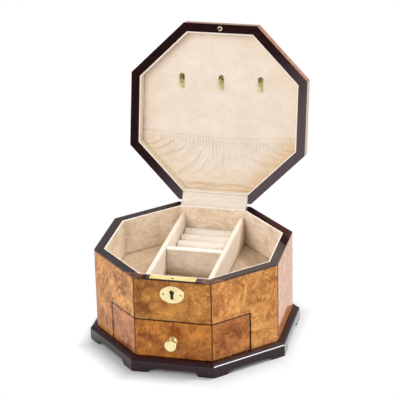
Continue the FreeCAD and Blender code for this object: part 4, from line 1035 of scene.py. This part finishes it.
LID_MIDDLE = (panel_low[1] + panel_high[1]) / 2 - HINGE_Y
lid_panel = suede_piece("suede_lid_panel", [
    flat_pad(octagon(panel_high[0]), panel_high[2], panel_low[2],
             lambda x, y, height: at_lid(x, y - LID_MIDDLE, height), PANEL_UNEVEN)])
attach(lid_panel, "lid")
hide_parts("lid_lining")

bed_low, bed_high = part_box("drawer_lining")
side_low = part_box("drawer_side_left")[0]
slant = bed_high.x - (side_low.y - bed_low.y)
bed_corners = [(slant, bed_low.y), (bed_high.x, side_low.y), (bed_high.x, bed_high.y),
               (-bed_high.x, bed_high.y), (-bed_high.x, side_low.y), (-slant, bed_low.y)]
drawer_pad = suede_piece("suede_drawer_bed", [
    flat_pad(bed_corners, bed_low.z, bed_high.z, at_case, PAD_UNEVEN)])
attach(drawer_pad, "drawer")
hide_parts("drawer_lining")

# %% [markdown]
# The dividers are thin boards wrapped in suede, so their tops are half round and slightly
# wavy where the cloth was pulled over. The ring rolls are foam rods wrapped the same way.
# Both are one section drawn along a line, with the ends drawn in a little.

# %% Wrapped lengths
TOP_STEPS = 14
SWELLING = ((0.6, 0.35), (1.0, 0.7))
WRAPPED_TOP = (TOP_STEPS + 7, range(3, TOP_STEPS + 3))
END_ROUND = 0.0008
DRAWN_IN = ((0.0, 0.86), (END_ROUND * 0.4, 0.95), (END_ROUND, 1.0))
END_DROP = 0.04
WANDER = 0.018
WANDER_ASIDE = 8


def wrapped_section(half, foot, top, swell):
    """The outline across a wrapped board or roll: (across, up) from one foot to the other."""
    spring = top - half
    side = [(half, foot)]
    side += [(half + swell * out, foot + (spring - foot) * rise) for out, rise in SWELLING]
    outline = [(-across, up) for across, up in side]
    for step in range(TOP_STEPS + 1):
        angle = math.pi * step / TOP_STEPS
        outline.append((-(half + swell * abs(math.cos(angle))) * math.cos(angle),
                        spring + half * math.sin(angle)))
    return outline + side[::-1]


def wrapped_run(start, end, half, foot, top, place, stations, loose, swell=0.0):
    """One wrapped length from start to end. Loose is how far its surface wanders."""
    marks = [(start + inset, size) for inset, size in DRAWN_IN]
    for step in range(1, stations):
        marks.append((start + (end - start) * step / stations, 1.0))
    marks += [(end - inset, size) for inset, size in reversed(DRAWN_IN)]
    rings = []
    for run, size in marks:
        ring = []
        for across, up in wrapped_section(half, foot, top, swell):
            wander = loose * uneven(run, across * 2, up, WANDER) * eased(up, foot, top)
            up = foot + (up - foot) * (1 - (1 - size) * END_DROP) + wander
            ring.append(place(run, across * size * (1 + wander * WANDER_ASIDE), up))
        rings.append(ring)
    return skin(rings)


print("wrapped section of", WRAPPED_TOP[0], "points")

# %% [markdown]
# Two long dividers run from the front to the back, and a short one crosses between them. The
# short one is painted deeper, as painted shade, and its top nearly white, as a painted highlight.

# %% Dividers
DIVIDER_STATIONS, DIVIDER_LOOSE = 60, 0.00025
CROSS_STATIONS, CROSS_LOOSE = 26, 0.0002
for name in ("divider_left", "divider_right"):
    low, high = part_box(name)
    middle = (low.x + high.x) / 2
    divider = suede_piece("suede_" + name, [wrapped_run(
        low.y, high.y, (high.x - low.x) / 2, low.z, high.z,
        lambda run, across, up: (middle + across, run, up), DIVIDER_STATIONS, DIVIDER_LOOSE)])
    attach(divider, "case")
    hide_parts(name)

low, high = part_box("divider_cross")
cross = suede_piece("suede_divider_cross", [wrapped_run(
    low.x, high.x, (high.y - low.y) / 2, low.z, high.z,
    at_case, CROSS_STATIONS, CROSS_LOOSE)], cross_suede, *WRAPPED_TOP)
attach(cross, "case")
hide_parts("divider_cross")

# %% [markdown]
# The five ring rolls lie side by side behind the short divider, so close that a ring pushed
# between two of them is held.

# %% Ring rolls
ROLLS = 5
ROLL_GAP = 0.0006
ROLL_STATIONS, ROLL_LOOSE, ROLL_SWELL = 36, 0.00028, 0.0001
low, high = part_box("ring_rolls")
roll_pitch = (high.y - low.y + ROLL_GAP) / ROLLS
rolls = []
for index in range(ROLLS):
    roll_middle = low.y + roll_pitch * index + (roll_pitch - ROLL_GAP) / 2
    rolls.append(wrapped_run(
        low.x, high.x, (roll_pitch - ROLL_GAP) / 2, low.z, high.z,
        lambda run, across, up: (run, roll_middle + across, up),
        ROLL_STATIONS, ROLL_LOOSE, ROLL_SWELL))
# The rolls take a deeper suede, as painted shade.
ring_rolls = suede_piece("suede_ring_rolls", rolls, roll_suede)
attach(ring_rolls, "case")
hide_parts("ring_rolls")

# %% [markdown]
# The pocket in the lid is a piece of suede cloth cut wider than the panel. An elastic band in
# its hem gathers the top, and its other edges are fixed to the panel. The gathers of the band
# are even enough to be drawn. How the cloth below them folds is hard to draw by hand, so that
# is left to a cloth simulation.

# %% The pocket's place
SPOT_STEPS = 5
HEM_SAG = 0.0055
pocket_low, pocket_high = lid_box("lid_pocket")
POCKET_WIDE = pocket_high[0]
POCKET_SEAM = pocket_low[1]
POCKET_HEM = pocket_high[1]
PANEL = panel_low[2]
SEAM_HALF = panel_high[0] * SIDE_SLOPE


def pocket_half(along):
    """Half the pocket's width at a distance from the hinge."""
    return min(POCKET_WIDE, SEAM_HALF + along - POCKET_SEAM)


def hem_along(x):
    """Where the hem is, which the elastic lets sag in the middle."""
    return POCKET_HEM - HEM_SAG * (1 - (x / POCKET_WIDE) ** 2) ** 1.5


def pocket_spot(across, share):
    """A point of the pocket on the panel, from its place across and its share of the height."""
    along = POCKET_SEAM
    for _ in range(SPOT_STEPS):
        x = across * pocket_half(along)
        along = POCKET_SEAM + (hem_along(x) - POCKET_SEAM) * share
    return x, along


print("hem sags to", round(hem_along(0.0), 4), "m from the hinge")

# %% [markdown]
# Before it settles, the cloth stands off the panel in a low belly. The gathers of the elastic
# band run along its hem, a little unevenly, and fade out below it.

# %% Gathers of the hem
HEM_BAND = 0.0085
HEM_LIP = (0.0004, 0.0030)
GATHER = 0.0046
GATHER_DEEP = 0.0023
GATHER_FADES = 0.008
GATHER_STRAY = 2.2
GATHER_BUMP = 0.02
STAND = 0.0012
BELLY = 0.0022
FREE_REACH = 0.012


def loose_stand(x, along, share):
    """How far the cloth stands off the panel before it settles: a belly and first ripples."""
    down = hem_along(x) - along
    slanting = (SEAM_HALF + along - POCKET_SEAM - abs(x)) / math.sqrt(2)
    from_edge = max(0.0, min(slanting, POCKET_WIDE - abs(x), along - POCKET_SEAM))
    stray = GATHER_STRAY * uneven(x, along, 1.3, GATHER_BUMP)
    ripple = 0.5 + 0.5 * math.cos(math.tau * x / GATHER + stray)
    full = GATHER_DEEP * eased(down, *HEM_LIP) * math.exp(-max(0.0, down - HEM_BAND) / GATHER_FADES)
    belly = BELLY * math.sin(math.pi * share ** 0.7)
    return STAND + eased(from_edge, 0.0, FREE_REACH) * (belly + full * ripple)


print("gathers every", GATHER * MM, "mm")

# %% [markdown]
# The simulation needs two places for each point of the sheet: in the flat cut, and on the lid.
# The seam, the side edges and the elastic band are held there, and the rest is free to fold.

# %% The pocket's cut
POCKET_COLUMNS = 340
POCKET_ROWS = 64
HEM_FULLNESS = 1.36
SEAM_FULLNESS = 1.03
FALL_FULLNESS = 1.05
FULLNESS_FALLS = 9.0
CUT_UNEVEN = 0.0004
CUT_BUMP = 0.004

placed, cut, held = [], [], []
for row in range(POCKET_ROWS + 1):
    share = row / POCKET_ROWS
    for column in range(POCKET_COLUMNS + 1):
        x, along = pocket_spot(-1 + 2 * column / POCKET_COLUMNS, share)
        stand = loose_stand(x, along, share)
        wider = SEAM_FULLNESS + (HEM_FULLNESS - SEAM_FULLNESS) * share ** FULLNESS_FALLS
        placed.append(Vector((x, along, stand)))
        cut.append(Vector((x * wider, POCKET_SEAM + (along - POCKET_SEAM) * FALL_FULLNESS,
                           stand + CUT_UNEVEN * uneven(x, along, 2.2, CUT_BUMP))))
        if row == 0 or column in (0, POCKET_COLUMNS) or hem_along(x) - along < HEM_BAND:
            held.append(len(placed) - 1)
print(len(placed), "points of cloth,", len(held), "of them held")

# %% [markdown]
# Blender's cloth behaves best at about the size of a person, so the sheet is simulated twenty
# times larger and lying down. These settings make it a light, soft cloth that comes to rest
# quickly.

# %% How the cloth behaves
SIM_SCALE = 20.0
GATHER_FRAMES = 19
SETTLE_FRAMES = 44
CLOTH_GRAVITY = 0.12
CLOTH_NEAR = 0.006
STOP_NEAR = 0.004
STOP_CORNERS = [(-4, -1, 0), (4, -1, 0), (4, 4, 0), (-4, 4, 0)]
CLOTH_WAYS = {
    "vertex_group_mass": "held", "quality": 6, "mass": 0.03, "air_damping": 2.0,
    "tension_stiffness": 40.0, "compression_stiffness": 40.0, "shear_stiffness": 6.0,
    "bending_stiffness": 0.06, "tension_damping": 8.0, "compression_damping": 8.0,
    "shear_damping": 8.0, "bending_damping": 0.6,
}


def sheet_faces():
    """The faces of the pocket's grid of points."""
    faces = []
    for row in range(POCKET_ROWS):
        for column in range(POCKET_COLUMNS):
            here = row * (POCKET_COLUMNS + 1) + column
            faces.append((here, here + 1, here + POCKET_COLUMNS + 2, here + POCKET_COLUMNS + 1))
    return faces


print("sheet of", len(sheet_faces()), "faces")

# %% [markdown]
# The sheet starts as the flat cut. A shape key then brings its held points to their place over
# some frames, while the free cloth swings, folds and rests on the panel. Gravity is tilted as
# the open lid is. Only the settled points are kept.

# %% Gather the pocket
def gathered_points():
    """Runs the cloth from its cut to its place and gives where its points settled."""
    mesh = bpy.data.meshes.new("pocket_cut")
    mesh.from_pydata([point * SIM_SCALE for point in cut], [], sheet_faces())
    sheet = bpy.data.objects.new("pocket_cut", mesh)
    scene.collection.objects.link(sheet)
    sheet.shape_key_add(name="cut")
    gathered = sheet.shape_key_add(name="gathered")
    for key_point, point in zip(gathered.data, placed):
        key_point.co = point * SIM_SCALE
    for value, frame_number in ((0.0, 1), (1.0, GATHER_FRAMES)):
        gathered.value = value
        gathered.keyframe_insert("value", frame=frame_number)
    sheet.vertex_groups.new(name="held").add(held, 1.0, "REPLACE")

    stop_mesh = bpy.data.meshes.new("pocket_stop")
    stop_mesh.from_pydata(STOP_CORNERS, [], [(0, 1, 2, 3)])
    stop = bpy.data.objects.new("pocket_stop", stop_mesh)
    scene.collection.objects.link(stop)
    stop.modifiers.new("stop", "COLLISION")
    stop.collision.thickness_outer = STOP_NEAR

    cloth = sheet.modifiers.new("gather", "CLOTH")
    cloth.collision_settings.distance_min = CLOTH_NEAR
    cloth.point_cache.frame_start = 1
    cloth.point_cache.frame_end = SETTLE_FRAMES
    cloth.settings.effector_weights.gravity = CLOTH_GRAVITY
    for name, value in CLOTH_WAYS.items():
        setattr(cloth.settings, name, value)
    upright = scene.gravity.copy()
    scene.gravity = Vector((0.0, -math.sin(OPENING), math.cos(OPENING))) * upright.length
    for frame_number in range(1, SETTLE_FRAMES + 1):
        scene.frame_set(frame_number)
    settled = sheet.evaluated_get(bpy.context.evaluated_depsgraph_get())
    points = [vertex.co / SIM_SCALE for vertex in settled.data.vertices]
    scene.gravity = upright
    scene.frame_set(1)
    bpy.data.objects.remove(sheet)
    bpy.data.objects.remove(stop)
    return points


settled = gathered_points()
print("cloth stands up to", round(max(point.z for point in settled) * 1000, 1), "mm off the panel")

# %% [markdown]
# The pocket's suede is painted warmer and darker towards its lower edges, most of all on the
# right, as painted shade. How near a point is to the edge of the lid's panel, measured round
# the same eight sides, says how dark it is.

# %% Pocket suede
POCKET_SHADE = (0.88, 0.77, 0.59)
POCKET_SHADE_REACH = (0.078, 0.106)
POCKET_SHADE_RIGHT = (-0.06, 0.06, 0.45, 1.0)
pocket_suede = suede_finish("pocket_suede", SUEDE_PALE, SUEDE_DEEP, 0.16)
tree = pocket_suede.node_tree
place = spots(tree)
panel_middle = on_lid(0.0, (panel_low[1] + panel_high[1]) / 2, 0.0)
from_middle = vectors(tree, "SUBTRACT", place, panel_middle)
along_lid = vectors(tree, "DOT_PRODUCT", from_middle, (0.0, -math.cos(OPENING), math.sin(OPENING)))
aside = parts(tree, from_middle)["X"]
tall = maths(tree, "ABSOLUTE", along_lid)
slanted = maths(tree, "MULTIPLY", maths(tree, "ADD", maths(tree, "ABSOLUTE", aside), tall), SLANT)
reach = maths(tree, "MAXIMUM", slanted, tall)
blot = span(tree, waves(tree, place, 55.0, 3.0, 0.6), 0.35, 0.60, 0.55, 1.0)
reached = span(tree, reach, *POCKET_SHADE_REACH)
painted_pocket_shade = maths(tree, "MULTIPLY", reached, span(tree, aside, *POCKET_SHADE_RIGHT), blot)
# Painted shade towards the pocket's edges, most of all on the right.
lay_over(pocket_suede, painted_pocket_shade, POCKET_SHADE, "MULTIPLY")
print("made", pocket_suede.name)

# %% [markdown]
# The settled sheet is smoothed a little, kept inside the outline that the lid leaves it, and
# given its thickness: a face and a back, sewn together round the edges.

# %% Sew the pocket
CLOTH = 0.0007
SOFTEN = 0.35
SHALLOWEST = 0.0004
DEEPEST = 0.0062


def softened(points):
    """The same grid with each inner point drawn towards its four neighbours."""
    wide = POCKET_COLUMNS + 1
    result = [point.copy() for point in points]
    for row in range(1, POCKET_ROWS):
        for column in range(1, POCKET_COLUMNS):
            here = row * wide + column
            around = points[here - 1] + points[here + 1] + points[here - wide] + points[here + wide]
            result[here] = points[here].lerp(around / 4, SOFTEN)
    return result


def pocket_shell(points):
    """The cloth's face and its back, sewn together at the edges."""
    rings = []
    for row in range(POCKET_ROWS + 1):
        face = []
        back = []
        for point in points[row * (POCKET_COLUMNS + 1):(row + 1) * (POCKET_COLUMNS + 1)]:
            along = min(max(point.y, POCKET_SEAM), POCKET_HEM)
            room = pocket_half(along)
            x = min(max(point.x, -room), room)
            stand = min(max(point.z, SHALLOWEST + CLOTH), DEEPEST)
            face.append(on_lid(x, along, PANEL - stand))
            back.append(on_lid(x, along, PANEL - stand + CLOTH))
        rings.append(face + back[::-1])
    return skin(rings, sheet=True)


pocket = suede_piece("suede_lid_pocket", [pocket_shell(softened(softened(settled)))], pocket_suede)
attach(pocket, "lid")
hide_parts("lid_pocket")

# %% [markdown]


# %% [markdown]
# A strip of the same suede covers the gap at the hinge, from the case's back lining to the
# lid's. It hangs in one easy bend while the lid is open: an arc between two short straight
# tails, found from the two planes that it joins.

# %% The hinge flap's line
FLAP_CLOTH = 0.0008
FLAP_LEVEL = 0.001
FLAP_TAIL = 0.0006
flap_low, flap_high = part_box("hinge_flap")
flap_wide = flap_high.x
fold = math.pi - OPENING
lid_way = Vector((0.0, -math.cos(OPENING), math.sin(OPENING)))
meet_y = HINGE_Y + FLAP_LEVEL * (1 + math.cos(OPENING)) / math.sin(OPENING)
meet = Vector((0.0, meet_y, HINGE_Z - FLAP_LEVEL))
tangent = meet.y - flap_low.y - FLAP_TAIL
bend_radius = tangent / math.tan(fold / 2)
bend_middle = Vector((0.0, meet.y - tangent, meet.z + bend_radius))


def flap_line(share):
    """A point of the flap's middle line, and the way out of its upper face."""
    arc = bend_radius * fold
    run = share * (arc + 2 * FLAP_TAIL)
    angle = min(fold, max(0.0, (run - FLAP_TAIL) / bend_radius))
    out = Vector((0.0, -math.sin(angle), math.cos(angle)))
    point = bend_middle - out * bend_radius
    if run < FLAP_TAIL:
        point.y -= FLAP_TAIL - run
    if run > arc + FLAP_TAIL:
        point += lid_way * (run - arc - FLAP_TAIL)
    return point, out


print("flap bends over a radius of", round(bend_radius * MM, 1), "mm")

# %% [markdown]
# Faint creases cross it where it folds each time the lid is shut. It crosses the joint too, so it
# is attached to neither body.

# %% The hinge flap
FLAP_STEPS = 34
FLAP_COLUMNS = 40
CREASE = 0.00016
CREASES = 19
CREASE_STRAY = 1.2
CREASE_BUMP = 0.03
SLACK = 0.00018
SLACK_BUMP = 0.025
FLAP_NOISE = 0.05


def flap_shell():
    """The strip's upper and lower faces with its creases."""
    rings = []
    for step in range(FLAP_STEPS + 1):
        share = step / FLAP_STEPS
        point, out = flap_line(share)
        free = math.sin(math.pi * share) ** 0.5
        upper = []
        lower = []
        for column in range(FLAP_COLUMNS + 1):
            x = flap_wide * (-1 + 2 * column / FLAP_COLUMNS)
            stray = CREASE_STRAY * uneven(x, share * FLAP_NOISE, 0.7, CREASE_BUMP)
            crease = CREASE * math.sin(share * CREASES + stray)
            slack = crease * free + SLACK * free * uneven(x, share * FLAP_NOISE, 3.3, SLACK_BUMP)
            middle = point + out * slack
            upper.append(tuple(Vector((x, 0, 0)) + middle + out * FLAP_CLOTH / 2))
            lower.append(tuple(Vector((x, 0, 0)) + middle - out * FLAP_CLOTH / 2))
        rings.append(upper + lower[::-1])
    return skin(rings, sheet=True)


hinge_flap = suede_piece("suede_hinge_flap", [flap_shell()])
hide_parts("hinge_flap")
flap_start, flap_end = flap_line(0.0)[0], flap_line(1.0)[0]
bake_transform(hinge_flap)
